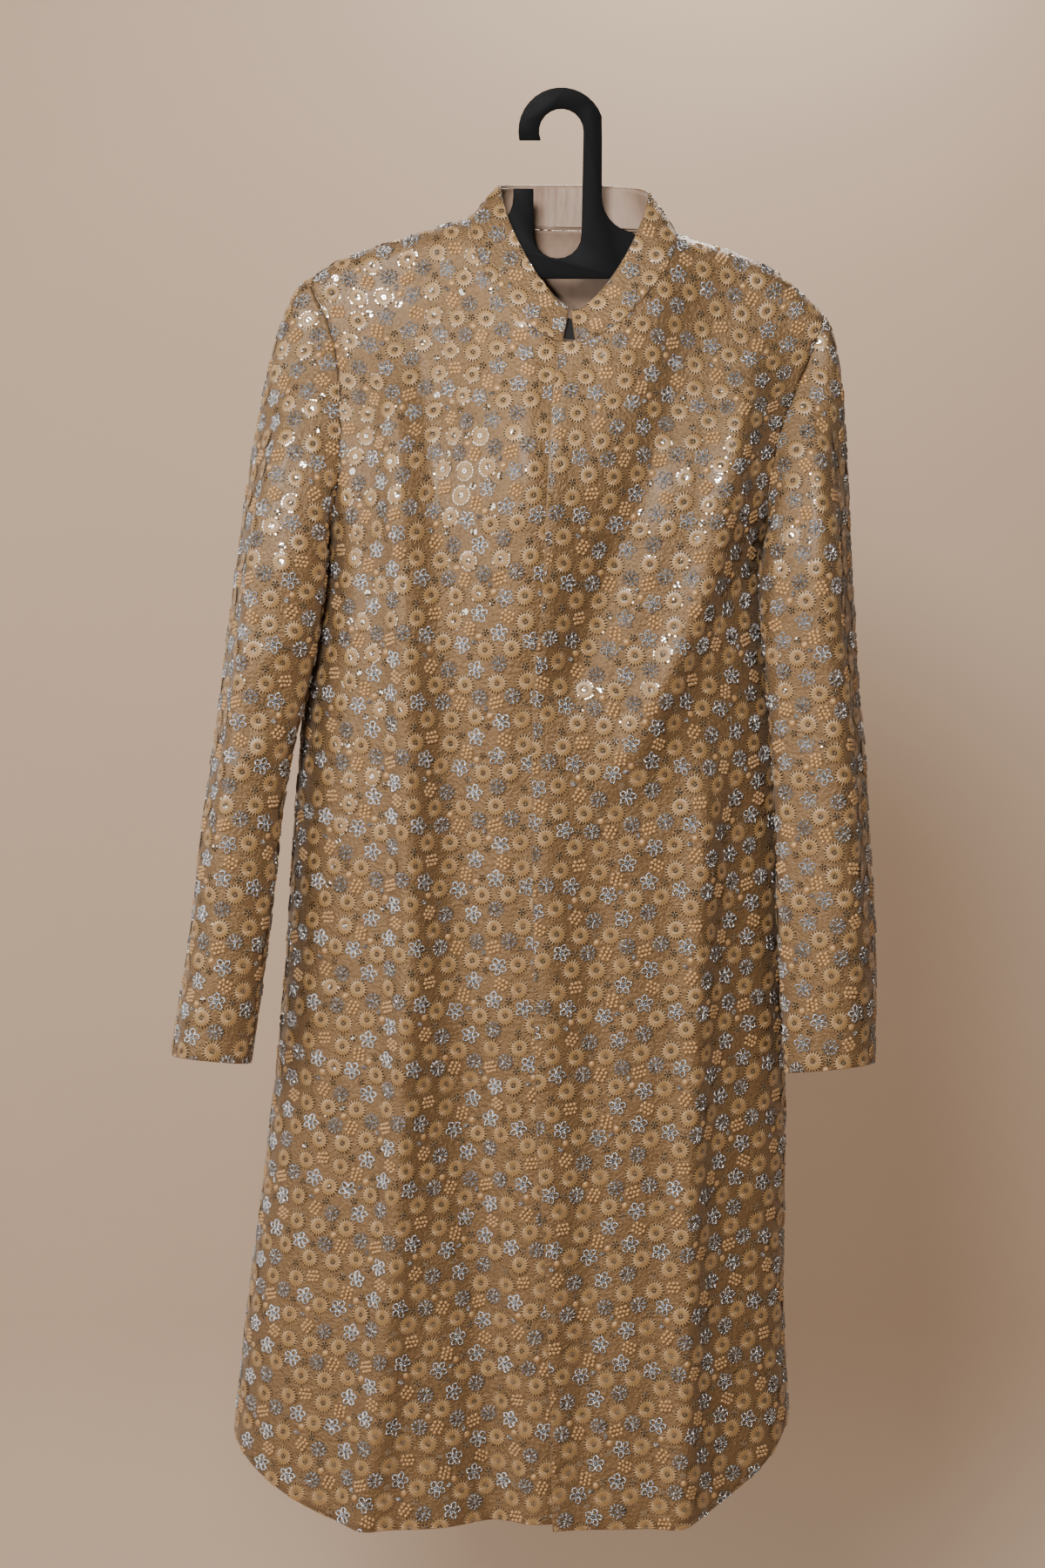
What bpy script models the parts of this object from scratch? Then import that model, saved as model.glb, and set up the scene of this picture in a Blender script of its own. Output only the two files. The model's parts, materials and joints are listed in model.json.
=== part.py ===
"""Sherwani coat on a flat plastic hanger, at real size in metres.

The origin is the top of the hook's inside, where the hanger hangs on its rail.
+X is the wearer's left, -Y is the front of the coat and +Z is up.
Every cloth piece is a wall: a grid of outer points and a grid of inner points, closed round the rim.
"""
import bpy
import math
import numpy as np

# ---------------------------------------------------------------- driving sizes
WALL = 0.0020              # shell cloth with its canvas and lining
LINING_WALL = 0.0010       # satin lining by itself
SEAM_GAP = 0.0003          # between sewn pieces
ARMPIT_Z = -0.375
RING_POWER = 2.3           # superellipse power of the body's level rings
FULL_DEPTH_DROP = 0.25     # below the shoulder ridge the coat has its full depth

# Body outline by level. Columns: z, left edge x, right edge x, front depth, back depth.
BODY_LEVELS = (
    (-0.080, -0.250, 0.262, 0.098, 0.086),
    (-0.200, -0.240, 0.245, 0.102, 0.090),
    (-0.300, -0.214, 0.199, 0.104, 0.094),
    (-0.375, -0.203, 0.174, 0.104, 0.096),
    (-0.430, -0.210, 0.177, 0.102, 0.095),
    (-0.500, -0.219, 0.184, 0.098, 0.092),
    (-0.600, -0.228, 0.190, 0.094, 0.088),
    (-0.750, -0.239, 0.194, 0.091, 0.085),
    (-0.886, -0.254, 0.1955, 0.090, 0.085),
    (-1.000, -0.269, 0.195, 0.090, 0.086),
    (-1.080, -0.279, 0.198, 0.091, 0.087),
    (-1.150, -0.286, 0.203, 0.092, 0.088),
    (-1.230, -0.289, 0.206, 0.092, 0.088),
)

# Shoulder ridge, which is the silhouette from tip to tip. Inside the neck it is a guide line.
# Columns: x, z.
RIDGE_LINE = (
    (-0.260, -0.178),
    (-0.226, -0.152),
    (-0.213, -0.142),
    (-0.198, -0.132),
    (-0.165, -0.118),
    (-0.120, -0.104),
    (-0.078, -0.0905),
    (-0.060, -0.0855),
    (0.010, -0.0820),
    (0.080, -0.0930),
    (0.098, -0.104),
    (0.135, -0.1155),
    (0.167, -0.128),
    (0.187, -0.140),
    (0.216, -0.166),
    (0.2222, -0.1725),
    (0.232, -0.182),
    (0.270, -0.215),
)
RIDGE_RADIUS_TIP = 0.015    # half thickness of the padded shoulder
RIDGE_RADIUS_NECK = 0.040   # the stiff collar holds the cloth open here
RIDGE_NECK_REACH = 0.105

# Armhole edges. Columns: z, x of the front edge, x of the back edge.
ARMHOLE_LEFT_SIDE = (
    (-0.1420, -0.2130, -0.2130),
    (-0.1570, -0.2065, -0.2105),
    (-0.1750, -0.1975, -0.2065),
    (-0.2000, -0.1900, -0.2020),
    (-0.2370, -0.1855, -0.1980),
    (-0.2900, -0.1850, -0.1960),
    (-0.3300, -0.1900, -0.1975),
    (-0.3580, -0.1972, -0.2010),
    (-0.3750, -0.2030, -0.2030),
)
ARMHOLE_RIGHT_SIDE = (
    (-0.1725, 0.2222, 0.2222),
    (-0.1850, 0.2170, 0.2200),
    (-0.2130, 0.2070, 0.2140),
    (-0.2430, 0.1935, 0.2050),
    (-0.2750, 0.1815, 0.1920),
    (-0.3100, 0.1745, 0.1820),
    (-0.3380, 0.1720, 0.1765),
    (-0.3600, 0.1728, 0.1745),
    (-0.3750, 0.1740, 0.1740),
)

# Neck seam and collar
NECK_CENTRE_X = 0.0105
NECK_HALF_WIDTH = 0.0875
NECK_FRONT_Z = -0.1965
NECK_BACK_Z = -0.0995
NECK_BACK_FLATNESS = 1.8
NECK_POWER_LEFT = 1.7
NECK_POWER_RIGHT = 1.5
COLLAR_TOP_CENTRE_X = 0.0110
COLLAR_TOP_HALF_WIDTH = 0.0630
COLLAR_TOP_SIDE_Z = (-0.0630, -0.0690)
COLLAR_TOP_FRONT_Z = -0.1690
COLLAR_TOP_BACK_Z = -0.0615
COLLAR_TOP_FRONT_Y = -0.0500
COLLAR_TOP_BACK_Y = 0.0400
COLLAR_TOP_POWER = 1.4
COLLAR_TOP_BACK_ROUND = 0.8
COLLAR_LEVEL_PART = 0.5     # share of its height over which its thickness turns from level to square
COLLAR_END_BASE_X = (0.0003, 0.0122)    # where its two ends stand on the neck seam
COLLAR_END_TOP_X = (0.0060, 0.0078)
COLLAR_SEAM_CLEARANCE = 2.4

# Front edge of the upper panel. Columns: z, x.
FRONT_EDGE = (
    (-0.150, 0.000),
    (-0.196, -0.002),
    (-0.243, -0.008),
    (-0.314, -0.012),
    (-0.418, -0.017),
    (-0.465, -0.0225),
    (-0.530, -0.0245),
    (-0.706, -0.023),
    (-0.875, -0.020),
    (-0.953, -0.0142),
    (-1.060, -0.0104),
    (-1.230, -0.0055),
)
UNDERLAP = 0.040
UNDERLAP_RAMP = 0.024
UNDERLAP_LEVEL = 0.004      # it lies level under this much of the upper edge
UNDERLAP_DROP = 0.007       # its hidden top corner stays under the neck seam
UNDERLAP_INSET = WALL + 0.0018

# Hem: height at centre front, and the round corners at the sides
HEM_UPPER_Z = -1.2050
HEM_UNDER_Z = -1.1995
HEM_BACK_Z = -1.2080
HEM_CORNER_LEFT_X = -0.165
HEM_CORNER_RIGHT_X = 0.096
HEM_RISE_LEFT = 0.060
HEM_RISE_RIGHT = 0.084
HEM_DIP_LEFT = 0.006       # the left quarter hangs lower, because the coat hangs askew
HEM_CORNER_POWER = 1.45
SLIT_TOP_Z = -0.975
SLIT_HALF_GAP = 0.0016
SLIT_RUN = 0.20             # the slit's edges part over this length
SLIT_POWER = 8

# Folds of the body. Columns: top z, bottom z, then the fold line's x at its top, middle and bottom,
# half width, height (outward, so a trough is negative).
FRONT_FOLDS = (
    (-0.17, -1.30, -0.142, -0.126, -0.184, 0.017, 0.0110),
    (-0.15, -1.30, -0.114, -0.082, -0.048, 0.028, -0.0110),
    (-0.74, -1.36, -0.104, -0.080, -0.056, 0.034, -0.0085),
    (-0.15, -0.58, -0.028, -0.024, -0.018, 0.032, 0.0095),
    (-0.50, -1.30, -0.016, -0.014, -0.018, 0.024, 0.0045),
    (-0.13, -0.56, 0.122, 0.056, -0.028, 0.032, -0.0095),
    (-0.16, -0.60, 0.160, 0.122, 0.024, 0.020, 0.0110),
    (-0.56, -1.34, 0.034, 0.022, 0.014, 0.026, -0.0034),
    (-0.50, -1.36, 0.121, 0.110, 0.101, 0.018, 0.0110),
    (-0.50, -1.34, 0.152, 0.152, 0.150, 0.022, -0.0050),
)
BACK_FOLDS = (
    (-0.22, -1.30, -0.118, -0.126, -0.150, 0.030, 0.0085),
    (-0.30, -1.30, -0.060, -0.070, -0.082, 0.034, -0.0080),
    (-0.34, -1.30, 0.006, -0.006, -0.020, 0.032, 0.0060),
    (-0.26, -1.30, 0.066, 0.058, 0.048, 0.034, -0.0075),
    (-0.20, -1.30, 0.128, 0.120, 0.118, 0.028, 0.0085),
    (-0.13, -0.30, -0.040, 0.010, 0.060, 0.030, 0.0030),
)
FOLD_FADE = 0.10
FOLD_RIDGE_FADE = 0.06      # folds start this far below the shoulder ridge
FOLD_SIDE_POWER = 6         # and die out towards the side seams
SIDE_INSET_POWER = 4        # a wall's inner face moves sideways only near the side seams
SIDE_INSET_FULL = 3.0

# Sleeves by level. Columns: z, outer edge x, front fold x, middle y, half of the depth,
# wrap (how far the front fold reaches past the inner wall, over the body's side).
SLEEVE_LEFT_SIDE = (
    (-0.400, -0.2785, -0.2000, -0.004, 0.078, 0.013),
    (-0.440, -0.2840, -0.2060, -0.007, 0.076, 0.013),
    (-0.480, -0.2890, -0.2140, -0.010, 0.074, 0.011),
    (-0.547, -0.2975, -0.2315, -0.016, 0.070, 0.004),
    (-0.613, -0.3065, -0.2420, -0.024, 0.066, 0.003),
    (-0.680, -0.3135, -0.2492, -0.032, 0.062, 0.002),
    (-0.736, -0.3215, -0.2575, -0.037, 0.058, 0.001),
    (-0.802, -0.3330, -0.2680, -0.041, 0.055, 0.000),
)
SLEEVE_RIGHT_SIDE = (
    (-0.400, 0.2490, 0.1680, -0.004, 0.078, 0.015),
    (-0.440, 0.2515, 0.1705, -0.007, 0.076, 0.015),
    (-0.480, 0.2540, 0.1745, -0.010, 0.074, 0.015),
    (-0.547, 0.2605, 0.1795, -0.016, 0.070, 0.015),
    (-0.613, 0.2640, 0.1830, -0.023, 0.066, 0.015),
    (-0.680, 0.2680, 0.1850, -0.030, 0.062, 0.014),
    (-0.736, 0.2690, 0.1880, -0.034, 0.059, 0.012),
    (-0.810, 0.2685, 0.1930, -0.037, 0.056, 0.008),
)
SLEEVE_POWER = 2.2
SLEEVE_FRONT_FOLD_ANGLE = 132.0     # where the front fold reaches furthest over the body's side
SLEEVE_FRONT_FOLD_REACH = 36.0
CUFF_SLOPE = 0.10           # the cuff's inner side hangs lower
CUFF_TILT = 0.15            # and its front is cut higher
CAP_HEAD = ((0.094, -0.034), (0.050, -0.040))    # x and z run of each sleeve head off the shoulder
SLEEVE_SEAM_ANGLE = 0.0045  # half the gap between top and under sleeve
CAP_SIDE = (0.030, 0.012)   # run of the cap outwards and down where it leaves the armhole's sides
CAP_FRONT = 0.030           # and its forward swell
CAP_LAND = 0.240            # how softly the cap turns down into the sleeve
CAP_LAND_SHARE = 1.15
CAP_ROW_POWER = 1.15        # its rows crowd at the armhole
CAP_STEP = 0.02
NORMAL_STEP = 0.02          # angle between the rings that give a normal
SLEEVE_FOLD_FADES = (0.08, 0.12)
ARMHOLE_STAND_OFF = 1.4     # seam gaps between the sleeve's first ring and the armhole
# Folds of the sleeves. Columns: angle, top z, bottom z, half angle, height.
SLEEVE_FOLDS_LEFT = (
    (40.0, -0.19, -0.62, 22.0, -0.0035),
    (72.0, -0.20, -0.70, 20.0, 0.0035),
    (-60.0, -0.22, -0.60, 26.0, 0.0040),
    (-25.0, -0.30, -0.76, 24.0, -0.0035),
)
SLEEVE_FOLDS_RIGHT = (
    (38.0, -0.22, -0.74, 22.0, -0.0040),
    (78.0, -0.24, -0.80, 20.0, 0.0040),
    (-58.0, -0.24, -0.62, 26.0, 0.0040),
    (-20.0, -0.30, -0.76, 24.0, -0.0030),
)

# Hanger
PLATE = 0.0060
HOOK_INNER = 0.0187
HOOK_BAND = 0.0174
SHANK_RIGHT_X = 0.0342
SHANK_LEFT_X = 0.0172
HOOK_END_Z = -0.0262
POST_LEFT_X = -0.0403
POST_RIGHT_X = -0.0233
POST_TOP_Z = -0.0662
NOTCH_BOTTOM_Z = -0.1243
NECK_ARC_RADIUS = 0.0300
NECK_ARC_TOP_Z = -0.0727
BODY_BOTTOM_Z = -0.1412
HANGER_UNDER_RIDGE = 0.0022
HOOK_LEAD = (20.0, 0.006)   # where the hook's outside runs into the shank: angle and drop
NECK_ARC_END = 76.0
ARM_START_LEFT = (-0.0800, -0.1065)     # top edge of each arm beside the neck
ARM_START_RIGHT = (0.0860, -0.1130)
# Under edge from the wearer's left to the right. Columns: x, z.
UNDER_EDGE = (
    (0.0850, -0.1480),
    (0.0500, BODY_BOTTOM_Z),
    (-0.0360, BODY_BOTTOM_Z),
    (-0.0700, -0.1430),
)
ARM_DEPTH = 0.034
ARM_UNDER = (0.030, 0.86)   # under corner of an arm's end: run back, share of the depth
ARM_ROUND = (0.34, 1.35)    # radius share of the depth, drop of its centre in radii
ARM_ROUND_BACK = 0.002
ARM_ROUND_ANGLES = (18.0, -70.0)

# How finely the walls are cut
FRONT_COLUMNS = 14
BACK_COLUMNS = 24
YOKE_ROWS = 9
BODY_ROWS = 20
FRONT_SEAM_ROW = 7          # yoke row where the sleeve's front seam meets the armhole
BACK_SEAM_ROW = 6
CAP_ROWS = 6
SLEEVE_ROWS = 11
SHOULDER_COLUMNS = 7        # columns of each panel that end on one shoulder seam
NECK_SPREAD = 0.045
NECK_SPREAD_START = 0.03    # share of the yoke over which the spread sets in
EDGE_BOW_POWER = 3          # an armhole's curve bends only the columns next to it
NECK_CROWDING = 1.6         # a front's columns crowd where the neck turns over the shoulder
COLLAR_HEIGHTS = (0.0, 0.33, 0.67, 1.0)
FACING_HEIGHTS = (0.15, 0.45, 0.80)
FACING_CLEARANCE = 0.0014
NECK_LINING_ROWS = 6
LINING_CLEARANCE = 0.0002
LINING_END_DRAW = 0.15      # a lining's end columns are drawn in by this share of a column
NECK_LINING_DRAW = (0.12, 1.0)      # and its first and last rows to these shares of a row
COLLAR_LINING_DRAW = (0.18, 0.92)
FACING_COLUMNS = 2


# ---------------------------------------------------------------- curves and tables
def smooth(table, at, key=0):
    """Value of each other column where column key is at: a monotone cubic through the rows."""
    rows = np.array(table, dtype=float)
    if rows[0, key] > rows[-1, key]:
        rows = rows[::-1]
    keys = rows[:, key]
    others = np.delete(rows, key, axis=1)
    at = np.clip(np.asarray(at, dtype=float), keys[0], keys[-1])
    steps = np.diff(keys)[:, None]
    slopes = np.diff(others, axis=0) / steps
    tangents = np.zeros_like(others)
    tangents[0] = slopes[0]
    tangents[-1] = slopes[-1]
    same_way = slopes[:-1] * slopes[1:] > 0
    with np.errstate(divide="ignore", invalid="ignore"):
        harmonic = 2.0 * slopes[:-1] * slopes[1:] / (slopes[:-1] + slopes[1:])
    tangents[1:-1] = np.where(same_way, harmonic, 0.0)
    index = np.clip(np.searchsorted(keys, at, side="right") - 1, 0, len(keys) - 2)
    span = steps[index, 0]
    t = ((at - keys[index]) / span)[..., None]
    a, b = others[index], others[index + 1]
    ta, tb = tangents[index] * span[..., None], tangents[index + 1] * span[..., None]
    value = (2 * t**3 - 3 * t**2 + 1) * a + (t**3 - 2 * t**2 + t) * ta
    value = value + (3 * t**2 - 2 * t**3) * b + (t**3 - t**2) * tb
    return [value[..., i] for i in range(value.shape[-1])]


def ease(t):
    """0 to 1 with level ends."""
    t = np.clip(t, 0.0, 1.0)
    return t * t * (3.0 - 2.0 * t)


def power_wave(value, power):
    """Superellipse form of a sine or cosine."""
    return np.sign(value) * np.abs(value) ** (2.0 / power)


def ridge_z(x):
    return smooth(RIDGE_LINE, x)[0]


def ridge_radius(x):
    near_neck = np.exp(-((x - NECK_CENTRE_X) / RIDGE_NECK_REACH) ** 4)
    return RIDGE_RADIUS_TIP + (RIDGE_RADIUS_NECK - RIDGE_RADIUS_TIP) * near_neck


# ---------------------------------------------------------------- the body's surface
def fold_height(folds, x, z):
    """Sum of the folds at x, z: each is a soft ridge along its own line, faded at its ends."""
    total = np.zeros_like(x)
    for top, bottom, x_top, x_middle, x_bottom, half_width, height in folds:
        t = np.clip((z - top) / (bottom - top), 0.0, 1.0)
        line = x_top * (1 - t) * (1 - 2 * t) + 4 * x_middle * t * (1 - t) + x_bottom * t * (2 * t - 1)
        fade = ease((top - z) / FOLD_FADE) * ease((z - bottom) / FOLD_FADE)
        total = total + height * fade * np.exp(-((x - line) / half_width) ** 2)
    return total


def body_x(angle, z):
    """Front-view x of a ring angle: 0 at the middle, plus or minus a right angle at the sides."""
    left, right, _, _ = smooth(BODY_LEVELS, z)
    centre = (left + right) / 2
    half = (right - left) / 2
    return centre + half * power_wave(np.sin(angle), RING_POWER)


def ring_angle(x, z):
    """Ring angle at a front-view x, the inverse of body_x."""
    left, right, _, _ = smooth(BODY_LEVELS, z)
    centre = (left + right) / 2
    half = (right - left) / 2
    t = np.clip((x - centre) / half, -1.0, 1.0)
    return np.sign(t) * np.arcsin(np.abs(t) ** (RING_POWER / 2.0))


def body_point(angle, z, inset, back=False):
    """Point of the front or back surface at a ring angle and level, inset towards the inside."""
    angle, z, inset = np.broadcast_arrays(np.asarray(angle, float), np.asarray(z, float), inset)
    left, right, front_depth, back_depth = smooth(BODY_LEVELS, z)
    centre = (left + right) / 2
    half = (right - left) / 2
    depth = back_depth if back else front_depth
    across = power_wave(np.sin(angle), RING_POWER)
    out = power_wave(np.abs(np.cos(angle)), RING_POWER)
    outer_x = centre + half * across
    drop = np.maximum(ridge_z(outer_x) - z, 0.0)
    radius = np.minimum(ridge_radius(outer_x), np.maximum(depth * out, 1e-6))
    turn = np.clip(drop / radius, 0.0, 1.0)
    sine = np.sqrt(np.maximum(1.0 - (1.0 - turn) ** 2, 0.0))
    swell = np.sin(0.5 * math.pi * np.clip(drop / FULL_DEPTH_DROP, 0.0, 1.0)) ** 2
    y = radius * sine + (depth * out - radius) * swell
    folds = fold_height(BACK_FOLDS if back else FRONT_FOLDS, outer_x, z)
    folds = folds * (1.0 - np.abs(across) ** FOLD_SIDE_POWER) * ease(drop / FOLD_RIDGE_FADE)
    normal_x = np.sin(angle) / half
    normal_y = np.cos(angle) / depth
    length = np.hypot(normal_x, normal_y)
    normal_x = normal_x / length
    normal_y = normal_y / length
    sideways = np.minimum(1.0, sine + np.abs(across) ** SIDE_INSET_POWER)
    x = outer_x + folds * normal_x - inset * across * sideways
    slit = SLIT_HALF_GAP * ease((SLIT_TOP_Z - z) / SLIT_RUN) * np.abs(across) ** SLIT_POWER
    y = y + folds * normal_y - inset * np.minimum(sine, 1.0) * np.minimum(1.0, out * SIDE_INSET_FULL)
    y = np.maximum(y, 0.0) + SEAM_GAP / 2 + slit
    z_in = z - inset * (1.0 - turn)
    side = 1.0 if back else -1.0
    return np.stack([x, side * y, z_in], axis=-1)


# ---------------------------------------------------------------- seam lines in front view
def neck_seam(angle):
    """x and z of the neck seam: angle 0 at centre front, half a turn at centre back."""
    across = np.sin(angle)
    along = np.cos(angle)
    is_left = across < 0
    power = np.where(is_left, NECK_POWER_LEFT, NECK_POWER_RIGHT)
    power = np.where(along < 0, 2.0, power)
    x = NECK_CENTRE_X + NECK_HALF_WIDTH * power_wave(across, power)
    side_x = np.where(is_left, NECK_CENTRE_X - NECK_HALF_WIDTH, NECK_CENTRE_X + NECK_HALF_WIDTH)
    side_z = ridge_z(side_x)
    end_z = np.where(along < 0, NECK_BACK_Z, NECK_FRONT_Z)
    share = np.abs(power_wave(along, power)) ** np.where(along < 0, NECK_BACK_FLATNESS, 1.0)
    return x, side_z * (1 - share) + end_z * share


def neck_angle(x, back=False):
    """Neck-seam angle at a front-view x."""
    t = np.clip((x - NECK_CENTRE_X) / NECK_HALF_WIDTH, -1.0, 1.0)
    power = np.where(t < 0, NECK_POWER_LEFT, NECK_POWER_RIGHT)
    if back:
        power = np.full_like(t, 2.0)
    angle = np.sign(t) * np.arcsin(np.abs(t) ** (power / 2.0))
    return math.pi - angle if back else angle


def upper_edge_x(z):
    return smooth(FRONT_EDGE, z)[0]


def hem_z(angle, middle_z):
    """Level of the hem at a ring angle: straight, then a round corner at each side."""
    level = np.full_like(angle, middle_z)
    x = body_x(angle, level)
    left_x = body_x(np.full_like(angle, -0.5 * math.pi), level)
    right_x = body_x(np.full_like(angle, 0.5 * math.pi), level)
    to_left = (x - HEM_CORNER_LEFT_X) / (left_x - HEM_CORNER_LEFT_X)
    to_right = (x - HEM_CORNER_RIGHT_X) / (right_x - HEM_CORNER_RIGHT_X)
    t = np.clip(np.where(x < 0, to_left, to_right), 0.0, 1.0)
    corner = 1.0 - (1.0 - t**HEM_CORNER_POWER * 0.999) ** (1.0 / HEM_CORNER_POWER)
    rise = np.where(x < 0, HEM_RISE_LEFT + HEM_DIP_LEFT, HEM_RISE_RIGHT)
    dip = HEM_DIP_LEFT * ease(x / HEM_CORNER_LEFT_X)
    return middle_z - dip + rise * corner


# ---------------------------------------------------------------- panel grids
def yoke_share(t):
    """Share of the way down an armhole at row share t: the rows crowd at the shoulder ridge."""
    return 0.5 * t**2 + 0.25 * (1.0 - np.cos(math.pi * t))


def panel_corners(top, inner_edge, outer_edge, columns, rows):
    """Ring-angle and level grid of a yoke patch that its four edges bound."""
    u = np.linspace(0.0, 1.0, columns + 1)[None, :]
    v = yoke_share(np.linspace(0.0, 1.0, rows + 1))[:, None]
    grids = []
    for k in range(2):
        upper = top[:, k][None, :]
        near = inner_edge[:, k][:, None]
        far = outer_edge[:, k][:, None]
        base = near[-1] * (1 - u) + far[-1] * u
        near_bow = near - (near[0] * (1 - v) + near[-1] * v)
        far_bow = far - (far[0] * (1 - v) + far[-1] * v)
        bow = (1 - u) ** EDGE_BOW_POWER * near_bow + u**EDGE_BOW_POWER * far_bow
        grids.append((1 - v) * upper + v * base + bow)
    return grids[0], grids[1]


def neck_spread(neck_column, columns, rows):
    """Ring angle that moves the columns by the side of the neck outwards, away from its steep seam."""
    column = np.arange(columns + 1)
    near = np.clip(column / neck_column, 0.0, 1.0) ** 3
    far = np.clip((columns - column) / (columns - neck_column), 0.0, 1.0) ** 2
    v = yoke_share(np.linspace(0.0, 1.0, rows + 1))[:, None]
    down = (1.0 - np.exp(-v / NECK_SPREAD_START)) * (1.0 - v) ** 2
    return NECK_SPREAD * np.minimum(near, far)[None, :] * down


def armhole_edge(table, rows, back):
    """Ring angle and level down one armhole, with the rows close together at the top."""
    t = np.linspace(0.0, 1.0, rows + 1)
    top, bottom = table[0][0], table[-1][0]
    z = top + (bottom - top) * yoke_share(t)
    column = 1 if back else 0
    x = smooth(table, z)[column]
    angle = ring_angle(x, z)
    angle[-1] = math.copysign(0.5 * math.pi, x[-1])
    return np.stack([angle, z], axis=-1)


def front_panel(side, columns, yoke_rows, body_rows):
    """Ring-angle and level grid of a front panel. side is -1 for the wearer's right."""
    table = ARMHOLE_LEFT_SIDE if side < 0 else ARMHOLE_RIGHT_SIDE
    over = side > 0
    lap = 0.0 if over else UNDERLAP
    hem_middle = HEM_UPPER_Z if over else HEM_UNDER_Z
    top = []
    neck = neck_columns(side, columns)
    last = len(neck) - 1
    for i in range(columns + 1):
        if i <= last:
            x, z = neck_seam(np.array(neck[i]))
        else:
            share = (i - last) / (columns - last)
            side_x = NECK_CENTRE_X + side * NECK_HALF_WIDTH
            x = side_x + (table[0][1] - side_x) * share
            z = ridge_z(x)
        top.append((float(ring_angle(x, z)), float(z)))
    top = np.array(top)
    top[0, 1] -= 0.0 if over else UNDERLAP_DROP
    t = yoke_share(np.linspace(0.0, 1.0, yoke_rows + 1))
    near_z = top[0, 1] + (ARMPIT_Z - top[0, 1]) * t
    near = np.stack([ring_angle(upper_edge_x(near_z) + lap, near_z), near_z], axis=-1)
    top[0] = near[0]
    far = armhole_edge(table, yoke_rows, False)
    top[-1] = far[0]
    yoke = panel_corners(top, near, far, columns, yoke_rows)
    yoke = (yoke[0] + side * neck_spread(last, columns, yoke_rows), yoke[1])
    u = np.linspace(0.0, 1.0, columns + 1)[None, :]
    v = np.linspace(0.0, 1.0, body_rows + 1)[1:, None]
    middle_angle = ring_angle(upper_edge_x(np.array(hem_middle)) + lap, np.array(hem_middle))
    bottom_angle = middle_angle + (side * 0.5 * math.pi - middle_angle) * u
    bottom_z = hem_z(bottom_angle, hem_middle)
    z = ARMPIT_Z + (bottom_z - ARMPIT_Z) * v
    edge = ring_angle(upper_edge_x(z) + lap, z)
    angle = edge + (side * 0.5 * math.pi - edge) * u
    return np.concatenate([yoke[0], angle]), np.concatenate([yoke[1], z])


def back_panel(columns, yoke_rows, body_rows):
    """Ring-angle and level grid of the back, from the left side to the right."""
    neck = back_neck_columns(columns)
    shoulder = (columns + 1 - len(neck)) // 2
    top = []
    for i in range(columns + 1):
        if shoulder <= i < shoulder + len(neck):
            x, z = neck_seam(np.array(neck[i - shoulder]))
        elif i < shoulder:
            end = ARMHOLE_LEFT_SIDE[0][2]
            x = end + (NECK_CENTRE_X - NECK_HALF_WIDTH - end) * i / shoulder
            z = ridge_z(x)
        else:
            end = ARMHOLE_RIGHT_SIDE[0][2]
            x = end + (NECK_CENTRE_X + NECK_HALF_WIDTH - end) * (columns - i) / shoulder
            z = ridge_z(x)
        top.append((float(ring_angle(x, z)), float(z)))
    top = np.array(top)
    near = armhole_edge(ARMHOLE_LEFT_SIDE, yoke_rows, True)
    far = armhole_edge(ARMHOLE_RIGHT_SIDE, yoke_rows, True)
    top[0] = near[0]
    top[-1] = far[0]
    yoke = panel_corners(top, near, far, columns, yoke_rows)
    u = np.linspace(0.0, 1.0, columns + 1)[None, :]
    v = np.linspace(0.0, 1.0, body_rows + 1)[1:, None]
    angle = -0.5 * math.pi + math.pi * u + 0 * v
    z = ARMPIT_Z + (hem_z(angle, HEM_BACK_Z) - ARMPIT_Z) * v
    return np.concatenate([yoke[0], angle]), np.concatenate([yoke[1], z])


def underlap_inset(angle, z):
    """How far the right front sinks where the left front laps over it."""
    past = body_x(angle, z) - (upper_edge_x(z) - UNDERLAP_RAMP)
    return UNDERLAP_INSET * ease(past / (UNDERLAP_RAMP - UNDERLAP_LEVEL))


# ---------------------------------------------------------------- sleeves
def armhole_loop(table, side, angles):
    """Points of the armhole seam: angle 0 at the shoulder tip, half a turn at the armpit."""
    points = []
    top, bottom = table[0][0], table[-1][0]
    for angle in angles % (2 * math.pi):
        back = angle > math.pi
        t = (2 * math.pi - angle if back else angle) / math.pi
        z = np.array(top + (bottom - top) * yoke_share(t))
        x = smooth(table, z)[1 if back else 0]
        ring = ring_angle(x, z)
        if t > 0.9999:
            ring = np.array(side * 0.5 * math.pi)
        points.append(body_point(ring, z, 0.0, back))
    return np.array(points)


def sleeve_ring(table, side, z, angles):
    """Ring of the hanging sleeve at one level. Angle 0 is outside, a quarter turn the front."""
    outer, inner, middle_y, half_depth, wrap = smooth(table, z)
    inner_wall = inner + side * wrap
    centre = (outer + inner_wall) / 2
    half = abs(outer - inner_wall) / 2
    x = centre + side * half * power_wave(np.cos(angles), SLEEVE_POWER)
    fold_angle = math.radians(SLEEVE_FRONT_FOLD_ANGLE)
    short = wrap + half * (1.0 + power_wave(math.cos(fold_angle), SLEEVE_POWER))
    away = np.remainder(angles - fold_angle + math.pi, 2 * math.pi) - math.pi
    x = x - side * short * np.exp(-(away / math.radians(SLEEVE_FRONT_FOLD_REACH)) ** 2)
    y = middle_y - half_depth * power_wave(np.sin(angles), SLEEVE_POWER)
    return np.stack([x, y, np.full_like(x, z)], axis=-1)


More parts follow.
